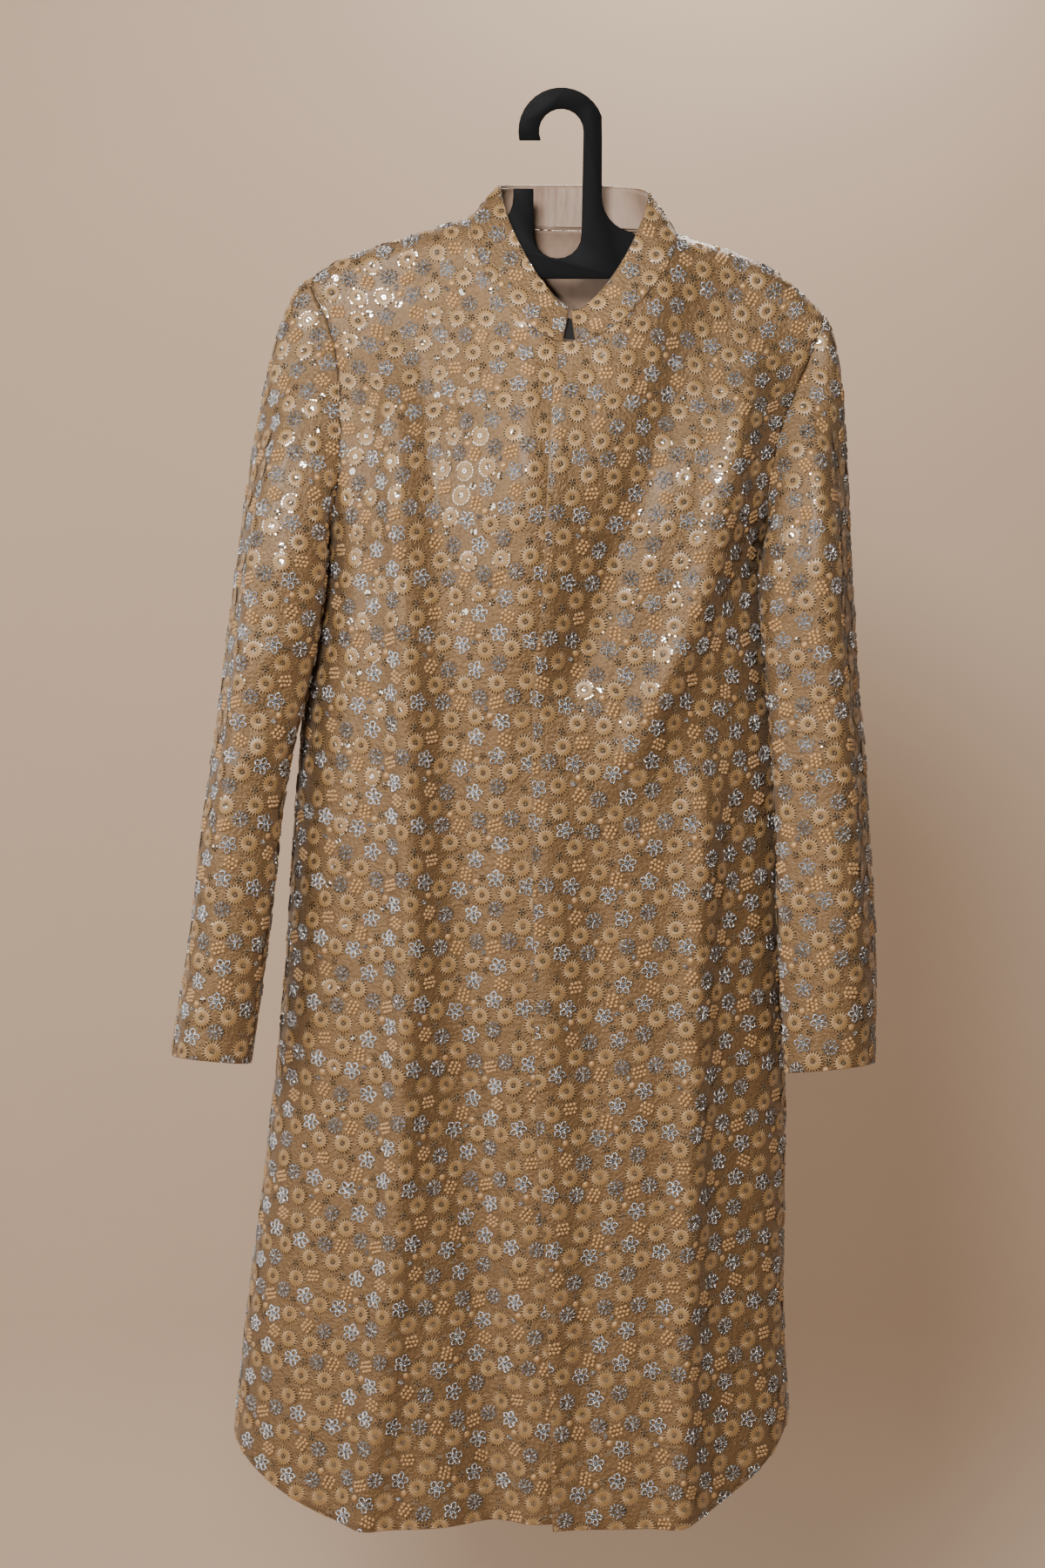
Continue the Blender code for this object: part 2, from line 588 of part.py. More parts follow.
def sleeve_form(side, angles, cap_rows, rows):
    """Grid of points from the armhole to the cuff, before its folds: one row for each ring."""
    table = SLEEVE_LEFT_SIDE if side < 0 else SLEEVE_RIGHT_SIDE
    loop = armhole_loop(ARMHOLE_LEFT_SIDE if side < 0 else ARMHOLE_RIGHT_SIDE, side, angles)
    outward = np.array([side, 0.0, 0.0])
    loop = loop + outward * SEAM_GAP * ARMHOLE_STAND_OFF
    top_z, cuff_z = table[0][0], table[-1][0]
    landing = sleeve_ring(table, side, top_z, angles)
    below = sleeve_ring(table, side, top_z - CAP_STEP, angles)
    down = (below - landing) / np.linalg.norm(below - landing, axis=1)[:, None]
    high = ease(0.5 + 0.5 * np.cos(angles))[:, None]
    front = -np.sin(angles)[:, None] * np.array([0.0, 1.0, 0.0])
    head_out, head_down = CAP_HEAD[0 if side < 0 else 1]
    head = np.array([side * head_out, 0.0, head_down])
    side_out, side_down = CAP_SIDE
    start = high * head + (1 - high) * (outward * side_out + down * side_down)
    start = start + front * CAP_FRONT
    distance = np.linalg.norm(landing - loop, axis=1)[:, None]
    end = down * np.minimum(CAP_LAND, distance * CAP_LAND_SHARE)
    grid = []
    for i in range(cap_rows + 1):
        t = (i / cap_rows) ** CAP_ROW_POWER
        grid.append((2 * t**3 - 3 * t**2 + 1) * loop + (t**3 - 2 * t**2 + t) * start
                    + (3 * t**2 - 2 * t**3) * landing + (t**3 - t**2) * end)
    for i in range(1, rows + 1):
        z = top_z + (cuff_z - top_z) * i / rows
        ring = sleeve_ring(table, side, z, angles)
        from_middle = ring - ring.mean(axis=0)
        cut = CUFF_SLOPE * side * from_middle[:, 0] - CUFF_TILT * from_middle[:, 1]
        ring[:, 2] += cut * i / rows
        grid.append(ring)
    return np.array(grid)


def sleeve_surface(side, angles, cap_rows, rows):
    """Outer points with their folds, and the outward normals there."""
    grid = sleeve_form(side, angles, cap_rows, rows)
    ahead = sleeve_form(side, angles + NORMAL_STEP, cap_rows, rows)
    around = ahead - sleeve_form(side, angles - NORMAL_STEP, cap_rows, rows)
    normal = np.cross(around, np.gradient(grid, axis=0))
    normal = normal / np.linalg.norm(normal, axis=2)[..., None]
    out = grid - grid.mean(axis=1, keepdims=True)
    if np.sum(normal[-1] * out[-1]) < 0:
        normal = -normal
    folds = SLEEVE_FOLDS_LEFT if side < 0 else SLEEVE_FOLDS_RIGHT
    height = sleeve_folds(folds, angles, grid[..., 2])
    grid = grid + normal * height[..., None]
    high = ease(0.5 + 0.5 * np.cos(angles))
    normal[0, :, 0] *= 1.0 - high
    return grid, normal / np.linalg.norm(normal, axis=2)[..., None]


def sleeve_folds(folds, angles, z):
    total = np.zeros_like(z)
    for middle, top, bottom, half_angle, height in folds:
        away = (np.degrees(angles)[None, :] - middle + 180.0) % 360.0 - 180.0
        fade = ease((top - z) / SLEEVE_FOLD_FADES[0]) * ease((z - bottom) / SLEEVE_FOLD_FADES[1])
        total = total + height * fade * np.exp(-(away / half_angle) ** 2)
    return total


# ---------------------------------------------------------------- collar
def neck_columns(side, columns):
    """Seam angles of a front panel's columns along the neck, from the front edge to the side."""
    lap = 0.0 if side > 0 else UNDERLAP
    start = float(neck_angle(np.array(upper_edge_x(NECK_FRONT_Z) + lap)))
    collar_end = collar_ends()[0 if side < 0 else 1]
    share = 1.0 - (1.0 - np.linspace(0.0, 1.0, columns - SHOULDER_COLUMNS)) ** NECK_CROWDING
    return np.concatenate([[start], collar_end + (side * 0.5 * math.pi - collar_end) * share])


def back_neck_columns(columns):
    """Seam angles of the back's columns along the neck, from the wearer's right to the left."""
    return np.linspace(-0.5 * math.pi, -1.5 * math.pi, columns - 2 * SHOULDER_COLUMNS + 1)


def collar_ends():
    """Seam angles of the two front ends."""
    return [float(neck_angle(np.array(x))) for x in COLLAR_END_BASE_X]


def collar_columns():
    """Seam angle of each column: the same as the panels' columns, from the left end round the back."""
    left = neck_columns(-1, FRONT_COLUMNS)[1:]
    middle = back_neck_columns(BACK_COLUMNS)[1:-1]
    right = neck_columns(1, FRONT_COLUMNS)[:0:-1] - 2 * math.pi
    return list(left) + list(middle) + list(right)


def top_angle(base_angle):
    """Angle on the top edge that stands over a seam angle."""
    left_end, right_end = collar_ends()
    tops = [(x - COLLAR_TOP_CENTRE_X) / COLLAR_TOP_HALF_WIDTH for x in COLLAR_END_TOP_X]
    first, last = [math.copysign(math.asin(abs(t) ** (COLLAR_TOP_POWER / 2)), t) for t in tops]
    seam = [right_end - 2 * math.pi, -1.5 * math.pi, -0.5 * math.pi, left_end]
    over = [last - 2 * math.pi, -1.5 * math.pi, -0.5 * math.pi, first]
    return float(np.interp(base_angle, seam, over))


def collar_top(angle):
    across, along = math.sin(angle), math.cos(angle)
    power = COLLAR_TOP_POWER if along > 0 else 2.0
    share = abs(along) ** (2.0 / power)
    x = COLLAR_TOP_CENTRE_X + COLLAR_TOP_HALF_WIDTH * math.copysign(abs(across) ** (2.0 / power), across)
    side_z = COLLAR_TOP_SIDE_Z[0] if across < 0 else COLLAR_TOP_SIDE_Z[1]
    end_z = COLLAR_TOP_FRONT_Z if along > 0 else COLLAR_TOP_BACK_Z
    end_y = COLLAR_TOP_FRONT_Y if along > 0 else COLLAR_TOP_BACK_Y
    y = end_y * abs(along) ** (1.0 if along > 0 else COLLAR_TOP_BACK_ROUND)
    return np.array([x, y, side_z * (1 - share) + end_z * share])


def collar_point(base_angle, w, inset):
    """Point of the band over a seam angle, at height share w, inset towards the neck."""
    x, z = neck_seam(np.array(base_angle))
    seam = body_point(ring_angle(x, z), z, 0.0, math.cos(base_angle) < 0)
    over = top_angle(base_angle)
    top = collar_top(over)
    rise = (top - seam) / np.linalg.norm(top - seam)
    inward = np.cross(collar_tangent(over), rise)
    inward[2] = inward[2] * float(ease(w / COLLAR_LEVEL_PART))
    inward = inward / np.linalg.norm(inward)
    start = seam + rise * SEAM_GAP * COLLAR_SEAM_CLEARANCE
    return start + (top - start) * w + inward * inset


def collar_grid(angles, heights, inset):
    """Points of the band from the neck seam up."""
    return np.array([[collar_point(a, w, inset) for a in angles] for w in heights])


def collar_tangent(angle):
    change = collar_top(angle - NORMAL_STEP) - collar_top(angle + NORMAL_STEP)
    return change / np.linalg.norm(change)


# ---------------------------------------------------------------- solids
def material(name, colour, roughness, metallic=0.0):
    made = bpy.data.materials.new(name)
    made.use_nodes = True
    shader = made.node_tree.nodes["Principled BSDF"]
    shader.inputs["Base Color"].default_value = (*colour, 1.0)
    shader.inputs["Roughness"].default_value = roughness
    shader.inputs["Metallic"].default_value = metallic
    return made


def signed_volume(points, faces):
    total = 0.0
    for face in faces:
        for i in range(1, len(face) - 1):
            total += np.dot(points[face[0]], np.cross(points[face[i]], points[face[i + 1]]))
    return total


def add_solid(name, points, faces, look):
    if signed_volume(points, faces) < 0:
        faces = [tuple(reversed(face)) for face in faces]
    mesh = bpy.data.meshes.new(name)
    mesh.from_pydata([tuple(float(c) for c in p) for p in points], [], faces)
    mesh.materials.append(look)
    mesh.shade_smooth()
    mesh.set_sharp_from_angle(angle=math.radians(35.0))
    made = bpy.data.objects.new(name, mesh)
    bpy.context.scene.collection.objects.link(made)
    return made


def add_wall(name, outer, inner, look):
    """Closed solid between two grids of the same size, with triangles so that each facet is flat."""
    rows, columns = outer.shape[:2]
    points = np.concatenate([outer.reshape(-1, 3), inner.reshape(-1, 3)])
    shift = rows * columns
    faces = []
    for r in range(rows - 1):
        for c in range(columns - 1):
            a = r * columns + c
            b, d, e = a + 1, a + columns, a + columns + 1
            faces += [(a, b, e), (a, e, d)]
            faces += [(shift + a, shift + e, shift + b), (shift + a, shift + d, shift + e)]
    rim = [c for c in range(columns)]
    rim += [r * columns + columns - 1 for r in range(1, rows)]
    rim += [(rows - 1) * columns + c for c in range(columns - 2, -1, -1)]
    rim += [r * columns for r in range(rows - 2, 0, -1)]
    for a, b in zip(rim, rim[1:] + rim[:1]):
        faces += [(a, shift + b, b), (a, shift + a, shift + b)]
    return add_solid(name, points, faces, look)


def add_body(looks):
    angle, z = front_panel(-1, FRONT_COLUMNS, YOKE_ROWS, BODY_ROWS)
    sunk = underlap_inset(angle, z)
    add_wall("front_right", body_point(angle, z, sunk), body_point(angle, z, sunk + WALL), looks["brocade"])
    angle, z = front_panel(1, FRONT_COLUMNS, YOKE_ROWS, BODY_ROWS)
    add_wall("front_left", body_point(angle, z, 0.0), body_point(angle, z, WALL), looks["brocade"])
    angle, z = back_panel(BACK_COLUMNS, YOKE_ROWS, BODY_ROWS)
    add_wall("back", body_point(angle, z, 0.0, True), body_point(angle, z, WALL, True), looks["brocade"])


def add_sleeves(looks):
    row_angle = math.pi / YOKE_ROWS
    for side, wearer in ((-1, "right"), (1, "left")):
        top_angles = np.arange(-BACK_SEAM_ROW, FRONT_SEAM_ROW + 1) * row_angle
        under_angles = np.arange(FRONT_SEAM_ROW, 2 * YOKE_ROWS - BACK_SEAM_ROW + 1) * row_angle
        for part in (top_angles, under_angles):
            part[0] += SLEEVE_SEAM_ANGLE
            part[-1] -= SLEEVE_SEAM_ANGLE
        angles = np.concatenate([top_angles, under_angles])
        grid, normal = sleeve_surface(side, angles, CAP_ROWS, SLEEVE_ROWS)
        inner = grid - normal * WALL
        split = len(top_angles)
        add_wall("sleeve_%s_top" % wearer, grid[:, :split], inner[:, :split], looks["brocade"])
        add_wall("sleeve_%s_under" % wearer, grid[:, split:], inner[:, split:], looks["brocade"])


def add_collar(looks):
    angles = collar_columns()
    outer = collar_grid(angles, COLLAR_HEIGHTS, 0.0)
    inner = collar_grid(angles, COLLAR_HEIGHTS, WALL)
    add_wall("collar", outer, inner, looks["brocade"])
    add_lining("collar_lining", outer, inner, COLLAR_LINING_DRAW, looks["lining"])


def lining_layer(outer, inner, draw, depth):
    """Grid inside a wall at a depth from its inner face, with its first and last rows drawn in."""
    first_share, last_share = draw
    direction = (inner - outer) / np.linalg.norm(inner - outer, axis=2)[..., None]
    layer = inner + direction * (depth + LINING_CLEARANCE)
    layer[0] = layer[0] * (1 - first_share) + layer[1] * first_share
    layer[-1] = layer[-2] * (1 - last_share) + layer[-1] * last_share
    layer[:, 0] = layer[:, 0] * (1 - LINING_END_DRAW) + layer[:, 1] * LINING_END_DRAW
    layer[:, -1] = layer[:, -1] * (1 - LINING_END_DRAW) + layer[:, -2] * LINING_END_DRAW
    return layer


def add_lining(name, outer, inner, draw, look):
    near = lining_layer(outer, inner, draw, SEAM_GAP)
    far = lining_layer(outer, inner, draw, SEAM_GAP + LINING_WALL)
    add_wall(name, near, far, look)


def add_neck_lining(looks):
    """The part of the back's lining that the neck opening shows."""
    angle, z = back_panel(BACK_COLUMNS, YOKE_ROWS, BODY_ROWS)
    neck = len(back_neck_columns(BACK_COLUMNS))
    first = (BACK_COLUMNS + 1 - neck) // 2 + 1
    patch = (slice(0, NECK_LINING_ROWS), slice(first, first + neck - 2))
    outer = body_point(angle[patch], z[patch], 0.0, True)
    inner = body_point(angle[patch], z[patch], WALL, True)
    add_lining("back_neck_lining", outer, inner, NECK_LINING_DRAW, looks["lining"])


def add_facing(looks):
    """Dark tab behind the two ends of the collar."""
    columns = collar_columns()
    angles = columns[:FACING_COLUMNS][::-1] + columns[-FACING_COLUMNS:][::-1]
    depth = WALL + LINING_WALL + FACING_CLEARANCE
    add_wall("placket_facing", collar_grid(angles, FACING_HEIGHTS, depth),
             collar_grid(angles, FACING_HEIGHTS, depth + LINING_WALL), looks["facing"])


# ---------------------------------------------------------------- hanger
def arc(centre_x, centre_z, radius, start, end, steps):
    turns = [math.radians(start + (end - start) * i / steps) for i in range(steps + 1)]
    return [(centre_x + radius * math.cos(t), centre_z + radius * math.sin(t)) for t in turns]


def arm_top(side):
    """Top edge of an arm from the neck outwards: just under the inside of the shoulder ridge."""
    tip = (ARMHOLE_LEFT_SIDE if side < 0 else ARMHOLE_RIGHT_SIDE)[0][1]
    neck = NECK_CENTRE_X + side * NECK_HALF_WIDTH
    shares = [k / SHOULDER_COLUMNS for k in range(1, SHOULDER_COLUMNS - 1)]
    across = [neck + (tip - neck) * share for share in shares]
    return [(x, float(ridge_z(np.array(x))) - WALL - HANGER_UNDER_RIDGE) for x in across]


def hanger_outline():
    """Front-view outline, from the hook's free end over the top and round."""
    hook_z = -HOOK_INNER
    outer = HOOK_INNER + HOOK_BAND
    notch_radius = (SHANK_LEFT_X - POST_RIGHT_X) / 2
    notch_x = (SHANK_LEFT_X + POST_RIGHT_X) / 2
    notch_z = NOTCH_BOTTOM_Z + notch_radius
    end_angle = math.degrees(math.asin((hook_z - HOOK_END_Z) / outer))
    end_inner = math.degrees(math.asin((hook_z - HOOK_END_Z) / HOOK_INNER))
    lead_angle, lead_drop = HOOK_LEAD
    points = arc(0.0, hook_z, outer, 180.0 + end_angle, lead_angle, 16)
    points.append((SHANK_RIGHT_X, hook_z - lead_drop))
    right_x = SHANK_RIGHT_X + NECK_ARC_RADIUS
    points += arc(right_x, NECK_ARC_TOP_Z, NECK_ARC_RADIUS, 180.0, 180.0 + NECK_ARC_END, 6)
    points.append(ARM_START_RIGHT)
    points += arm_top(1)
    points += arm_end(*points[-1], 1)
    points += UNDER_EDGE
    left_top = arm_top(-1)
    points += arm_end(*left_top[-1], -1)
    points += list(reversed(left_top))
    points.append(ARM_START_LEFT)
    left_x = POST_LEFT_X - NECK_ARC_RADIUS
    points += arc(left_x, NECK_ARC_TOP_Z, NECK_ARC_RADIUS, -NECK_ARC_END, 0.0, 6)
    points.append((POST_LEFT_X, POST_TOP_Z))
    points.append((POST_RIGHT_X, POST_TOP_Z))
    points += arc(notch_x, notch_z, notch_radius, 180.0, 360.0, 10)
    points += arc(0.0, hook_z, HOOK_INNER, 0.0, 180.0 + end_inner, 12)
    return points


def arm_end(x, top, side):
    """Rounded end of an arm, in outline order for its side."""
    radius = ARM_DEPTH * ARM_ROUND[0]
    low = (x - side * ARM_UNDER[0], top - ARM_DEPTH * ARM_UNDER[1])
    tip = arc(x - side * ARM_ROUND_BACK, top - radius * ARM_ROUND[1], radius, *ARM_ROUND_ANGLES, 4)
    if side < 0:
        tip = [(2 * x - px, pz) for px, pz in tip]
        return [low] + list(reversed(tip))
    return tip + [low]


def add_hanger(looks):
    outline = hanger_outline()
    count = len(outline)
    points = [(x, -PLATE / 2, z) for x, z in outline] + [(x, PLATE / 2, z) for x, z in outline]
    front = tuple(range(count))
    back = tuple(reversed(range(count, 2 * count)))
    faces = [front, back]
    for i in range(count):
        j = (i + 1) % count
        faces.append((i, count + i, count + j, j))
    add_solid("hanger", np.array(points), faces, looks["plastic"])


def main():
    for old in list(bpy.data.objects):
        bpy.data.objects.remove(old, do_unlink=True)
    looks = {
        "brocade": material("brocade", (0.42, 0.29, 0.16), 0.45),
        "lining": material("lining_satin", (0.45, 0.36, 0.29), 0.35),
        "facing": material("facing_cloth", (0.03, 0.025, 0.02), 0.80),
        "plastic": material("hanger_plastic", (0.02, 0.02, 0.022), 0.50),
    }
    add_body(looks)
    add_sleeves(looks)
    add_collar(looks)
    add_neck_lining(looks)
    add_facing(looks)
    add_hanger(looks)


main()
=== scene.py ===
"""Sherwani coat on a flat plastic hanger: its cloth, embroidery, linings, hanger and studio.

Sizes are in metres. +X is the wearer's left, -Y the front of the coat, +Z up.
The origin is the top of the hook's inside, where the hanger hangs on its rail.
"""
import json
import math

import bpy
import mathutils
import numpy as np
from bpy.props import FloatProperty, FloatVectorProperty, IntProperty, PointerProperty
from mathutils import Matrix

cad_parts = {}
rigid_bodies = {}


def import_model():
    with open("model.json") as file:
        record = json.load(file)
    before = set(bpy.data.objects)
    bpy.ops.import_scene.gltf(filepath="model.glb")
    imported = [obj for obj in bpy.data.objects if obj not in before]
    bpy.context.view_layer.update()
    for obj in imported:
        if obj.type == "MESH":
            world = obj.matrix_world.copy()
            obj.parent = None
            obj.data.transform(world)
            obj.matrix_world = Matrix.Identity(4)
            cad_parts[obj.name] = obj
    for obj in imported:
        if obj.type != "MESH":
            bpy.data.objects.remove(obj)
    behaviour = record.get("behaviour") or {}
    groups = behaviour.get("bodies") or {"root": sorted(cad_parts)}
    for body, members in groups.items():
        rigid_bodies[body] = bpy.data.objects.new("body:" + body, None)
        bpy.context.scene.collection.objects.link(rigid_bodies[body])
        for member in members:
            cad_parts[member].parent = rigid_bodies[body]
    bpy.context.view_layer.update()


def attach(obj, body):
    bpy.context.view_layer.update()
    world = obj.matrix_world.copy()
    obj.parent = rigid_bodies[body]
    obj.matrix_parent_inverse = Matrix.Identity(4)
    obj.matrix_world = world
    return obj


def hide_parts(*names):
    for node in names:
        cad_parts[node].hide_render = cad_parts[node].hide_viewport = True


bl_info = {
    "name": "Sherwani Coat",
    "version": (1, 0, 0),
    "blender": (4, 5, 0),
    "location": "View3D > Sidebar > Coat",
    "description": "Builds an embroidered sherwani coat on its hanger",
    "category": "Object",
}

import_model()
BODY = "root"

# ---------------------------------------------------------------- driving sizes
WALL = 0.0020              # shell cloth with its canvas and lining
LINING_WALL = 0.0010       # satin lining by itself
SEAM_GAP = 0.0003          # between sewn pieces
ARMPIT_Z = -0.375
RING_POWER = 2.3           # superellipse power of the body's level rings
FULL_DEPTH_DROP = 0.25     # below the shoulder ridge the coat has its full depth

# Body outline by level. Columns: z, left edge x, right edge x, front depth, back depth.
BODY_LEVELS = (
    (-0.080, -0.250, 0.262, 0.098, 0.086),
    (-0.200, -0.240, 0.245, 0.102, 0.090),
    (-0.300, -0.214, 0.199, 0.104, 0.094),
    (-0.375, -0.203, 0.174, 0.104, 0.096),
    (-0.430, -0.210, 0.177, 0.102, 0.095),
    (-0.500, -0.219, 0.184, 0.098, 0.092),
    (-0.600, -0.228, 0.190, 0.094, 0.088),
    (-0.750, -0.239, 0.194, 0.091, 0.085),
    (-0.886, -0.254, 0.1955, 0.090, 0.085),
    (-1.000, -0.269, 0.195, 0.090, 0.086),
    (-1.080, -0.279, 0.198, 0.091, 0.087),
    (-1.150, -0.286, 0.203, 0.092, 0.088),
    (-1.230, -0.289, 0.206, 0.092, 0.088),
)

# Shoulder ridge, which is the silhouette from tip to tip. Inside the neck it is a guide line.
# Columns: x, z.
RIDGE_LINE = (
    (-0.260, -0.178),
    (-0.226, -0.152),
    (-0.213, -0.142),
    (-0.198, -0.132),
    (-0.165, -0.118),
    (-0.120, -0.104),
    (-0.078, -0.0905),
    (-0.060, -0.0855),
    (0.010, -0.0820),
    (0.080, -0.0930),
    (0.098, -0.104),
    (0.135, -0.1155),
    (0.167, -0.128),
    (0.187, -0.140),
    (0.216, -0.166),
    (0.2222, -0.1725),
    (0.232, -0.182),
    (0.270, -0.215),
)
RIDGE_RADIUS_TIP = 0.015    # half thickness of the padded shoulder
RIDGE_RADIUS_NECK = 0.040   # the stiff collar holds the cloth open here
RIDGE_NECK_REACH = 0.105

# Armhole edges. Columns: z, x of the front edge, x of the back edge.
ARMHOLE_LEFT_SIDE = (
    (-0.1420, -0.2130, -0.2130),
    (-0.1570, -0.2065, -0.2105),
    (-0.1750, -0.1975, -0.2065),
    (-0.2000, -0.1900, -0.2020),
    (-0.2370, -0.1855, -0.1980),
    (-0.2900, -0.1850, -0.1960),
    (-0.3300, -0.1900, -0.1975),
    (-0.3580, -0.1972, -0.2010),
    (-0.3750, -0.2030, -0.2030),
)
ARMHOLE_RIGHT_SIDE = (
    (-0.1725, 0.2222, 0.2222),
    (-0.1850, 0.2170, 0.2200),
    (-0.2130, 0.2070, 0.2140),
    (-0.2430, 0.1935, 0.2050),
    (-0.2750, 0.1815, 0.1920),
    (-0.3100, 0.1745, 0.1820),
    (-0.3380, 0.1720, 0.1765),
    (-0.3600, 0.1728, 0.1745),
    (-0.3750, 0.1740, 0.1740),
)

# Neck seam and collar
NECK_CENTRE_X = 0.0105
NECK_HALF_WIDTH = 0.0875
NECK_FRONT_Z = -0.1965
NECK_BACK_Z = -0.0995
NECK_BACK_FLATNESS = 1.8
NECK_POWER_LEFT = 1.7
NECK_POWER_RIGHT = 1.5
COLLAR_TOP_CENTRE_X = 0.0110
COLLAR_TOP_HALF_WIDTH = 0.0630
COLLAR_TOP_SIDE_Z = (-0.0630, -0.0690)
COLLAR_TOP_FRONT_Z = -0.1690
COLLAR_TOP_BACK_Z = -0.0615
COLLAR_TOP_FRONT_Y = -0.0500
COLLAR_TOP_BACK_Y = 0.0400
COLLAR_TOP_POWER = 1.4
COLLAR_TOP_BACK_ROUND = 0.8
COLLAR_LEVEL_PART = 0.5     # share of its height over which its thickness turns from level to square
COLLAR_END_BASE_X = (0.0003, 0.0122)    # where its two ends stand on the neck seam
COLLAR_END_TOP_X = (0.0060, 0.0078)
COLLAR_SEAM_CLEARANCE = 0.6

# Front edge of the upper panel. Columns: z, x.
FRONT_EDGE = (
    (-0.150, 0.000),
    (-0.196, -0.002),
    (-0.243, -0.008),
    (-0.314, -0.012),
    (-0.418, -0.017),
    (-0.465, -0.0225),
    (-0.530, -0.0245),
    (-0.706, -0.023),
    (-0.875, -0.020),
    (-0.953, -0.0142),
    (-1.060, -0.0104),
    (-1.230, -0.0055),
)
UNDERLAP = 0.040
UNDERLAP_RAMP = 0.024
UNDERLAP_LEVEL = 0.004      # it lies level under this much of the upper edge
UNDERLAP_DROP = 0.007       # its hidden top corner stays under the neck seam
UNDERLAP_INSET = WALL + 0.0018

# Hem: height at centre front, and the round corners at the sides
HEM_UPPER_Z = -1.2050
HEM_UNDER_Z = -1.1995
HEM_BACK_Z = -1.2080
HEM_CORNER_LEFT_X = -0.165
HEM_CORNER_RIGHT_X = 0.096
HEM_RISE_LEFT = 0.060
HEM_RISE_RIGHT = 0.084
HEM_DIP_LEFT = 0.006       # the left quarter hangs lower, because the coat hangs askew
HEM_CORNER_POWER = 1.45
SLIT_TOP_Z = -0.975
SLIT_HALF_GAP = 0.0016
SLIT_RUN = 0.20             # the slit's edges part over this length
SLIT_POWER = 8

# Folds of the body. Columns: top z, bottom z, then the fold line's x at its top, middle and bottom,
# half width, height (outward, so a trough is negative).
FRONT_FOLDS = (
    (-0.17, -1.30, -0.142, -0.126, -0.184, 0.017, 0.0110),
    (-0.15, -1.30, -0.114, -0.082, -0.048, 0.028, -0.0110),
    (-0.74, -1.36, -0.104, -0.080, -0.056, 0.034, -0.0085),
    (-0.15, -0.58, -0.028, -0.024, -0.018, 0.032, 0.0095),
    (-0.50, -1.30, -0.016, -0.014, -0.018, 0.024, 0.0045),
    (-0.13, -0.56, 0.122, 0.056, -0.028, 0.032, -0.0095),
    (-0.16, -0.60, 0.160, 0.122, 0.024, 0.020, 0.0110),
    (-0.56, -1.34, 0.034, 0.022, 0.014, 0.026, -0.0034),
    (-0.50, -1.36, 0.121, 0.110, 0.101, 0.018, 0.0110),
    (-0.50, -1.34, 0.152, 0.152, 0.150, 0.022, -0.0050),
)
BACK_FOLDS = (
    (-0.22, -1.30, -0.118, -0.126, -0.150, 0.030, 0.0085),
    (-0.30, -1.30, -0.060, -0.070, -0.082, 0.034, -0.0080),
    (-0.34, -1.30, 0.006, -0.006, -0.020, 0.032, 0.0060),
    (-0.26, -1.30, 0.066, 0.058, 0.048, 0.034, -0.0075),
    (-0.20, -1.30, 0.128, 0.120, 0.118, 0.028, 0.0085),
    (-0.13, -0.30, -0.040, 0.010, 0.060, 0.030, 0.0030),
)
FOLD_FADE = 0.10
FOLD_RIDGE_FADE = 0.06      # folds start this far below the shoulder ridge
FOLD_SIDE_POWER = 6         # and die out towards the side seams
SIDE_INSET_POWER = 4        # a wall's inner face moves sideways only near the side seams
SIDE_INSET_FULL = 3.0

# Sleeves by level. Columns: z, outer edge x, front fold x, middle y, half of the depth,
# wrap (how far the front fold reaches past the inner wall, over the body's side).
SLEEVE_LEFT_SIDE = (
    (-0.400, -0.2785, -0.2000, -0.004, 0.078, 0.013),
    (-0.440, -0.2840, -0.2060, -0.007, 0.076, 0.013),
    (-0.480, -0.2890, -0.2140, -0.010, 0.074, 0.011),
    (-0.547, -0.2975, -0.2315, -0.016, 0.070, 0.004),
    (-0.613, -0.3065, -0.2420, -0.024, 0.066, 0.003),
    (-0.680, -0.3135, -0.2492, -0.032, 0.062, 0.002),
    (-0.736, -0.3215, -0.2575, -0.037, 0.058, 0.001),
    (-0.802, -0.3330, -0.2680, -0.041, 0.055, 0.000),
)
SLEEVE_RIGHT_SIDE = (
    (-0.400, 0.2490, 0.1680, -0.004, 0.078, 0.015),
    (-0.440, 0.2515, 0.1705, -0.007, 0.076, 0.015),
    (-0.480, 0.2540, 0.1745, -0.010, 0.074, 0.015),
    (-0.547, 0.2605, 0.1795, -0.016, 0.070, 0.015),
    (-0.613, 0.2640, 0.1830, -0.023, 0.066, 0.015),
    (-0.680, 0.2680, 0.1850, -0.030, 0.062, 0.014),
    (-0.736, 0.2690, 0.1880, -0.034, 0.059, 0.012),
    (-0.810, 0.2685, 0.1930, -0.037, 0.056, 0.008),
)
SLEEVE_POWER = 2.2
SLEEVE_FRONT_FOLD_ANGLE = 132.0     # where the front fold reaches furthest over the body's side
SLEEVE_FRONT_FOLD_REACH = 36.0
CUFF_SLOPE = 0.10           # the cuff's inner side hangs lower
CUFF_TILT = 0.15            # and its front is cut higher
CAP_HEAD = ((0.094, -0.034), (0.050, -0.040))    # x and z run of each sleeve head off the shoulder
SLEEVE_SEAM_ANGLE = 0.0045  # half the gap between top and under sleeve
CAP_SIDE = (0.030, 0.012)   # run of the cap outwards and down where it leaves the armhole's sides
CAP_FRONT = 0.030           # and its forward swell
CAP_LAND = 0.240            # how softly the cap turns down into the sleeve
CAP_LAND_SHARE = 1.15
CAP_ROW_POWER = 1.15        # its rows crowd at the armhole
CAP_STEP = 0.02
NORMAL_STEP = 0.02          # angle between the rings that give a normal
SLEEVE_FOLD_FADES = (0.08, 0.12)
ARMHOLE_STAND_OFF = 1.4     # seam gaps between the sleeve's first ring and the armhole
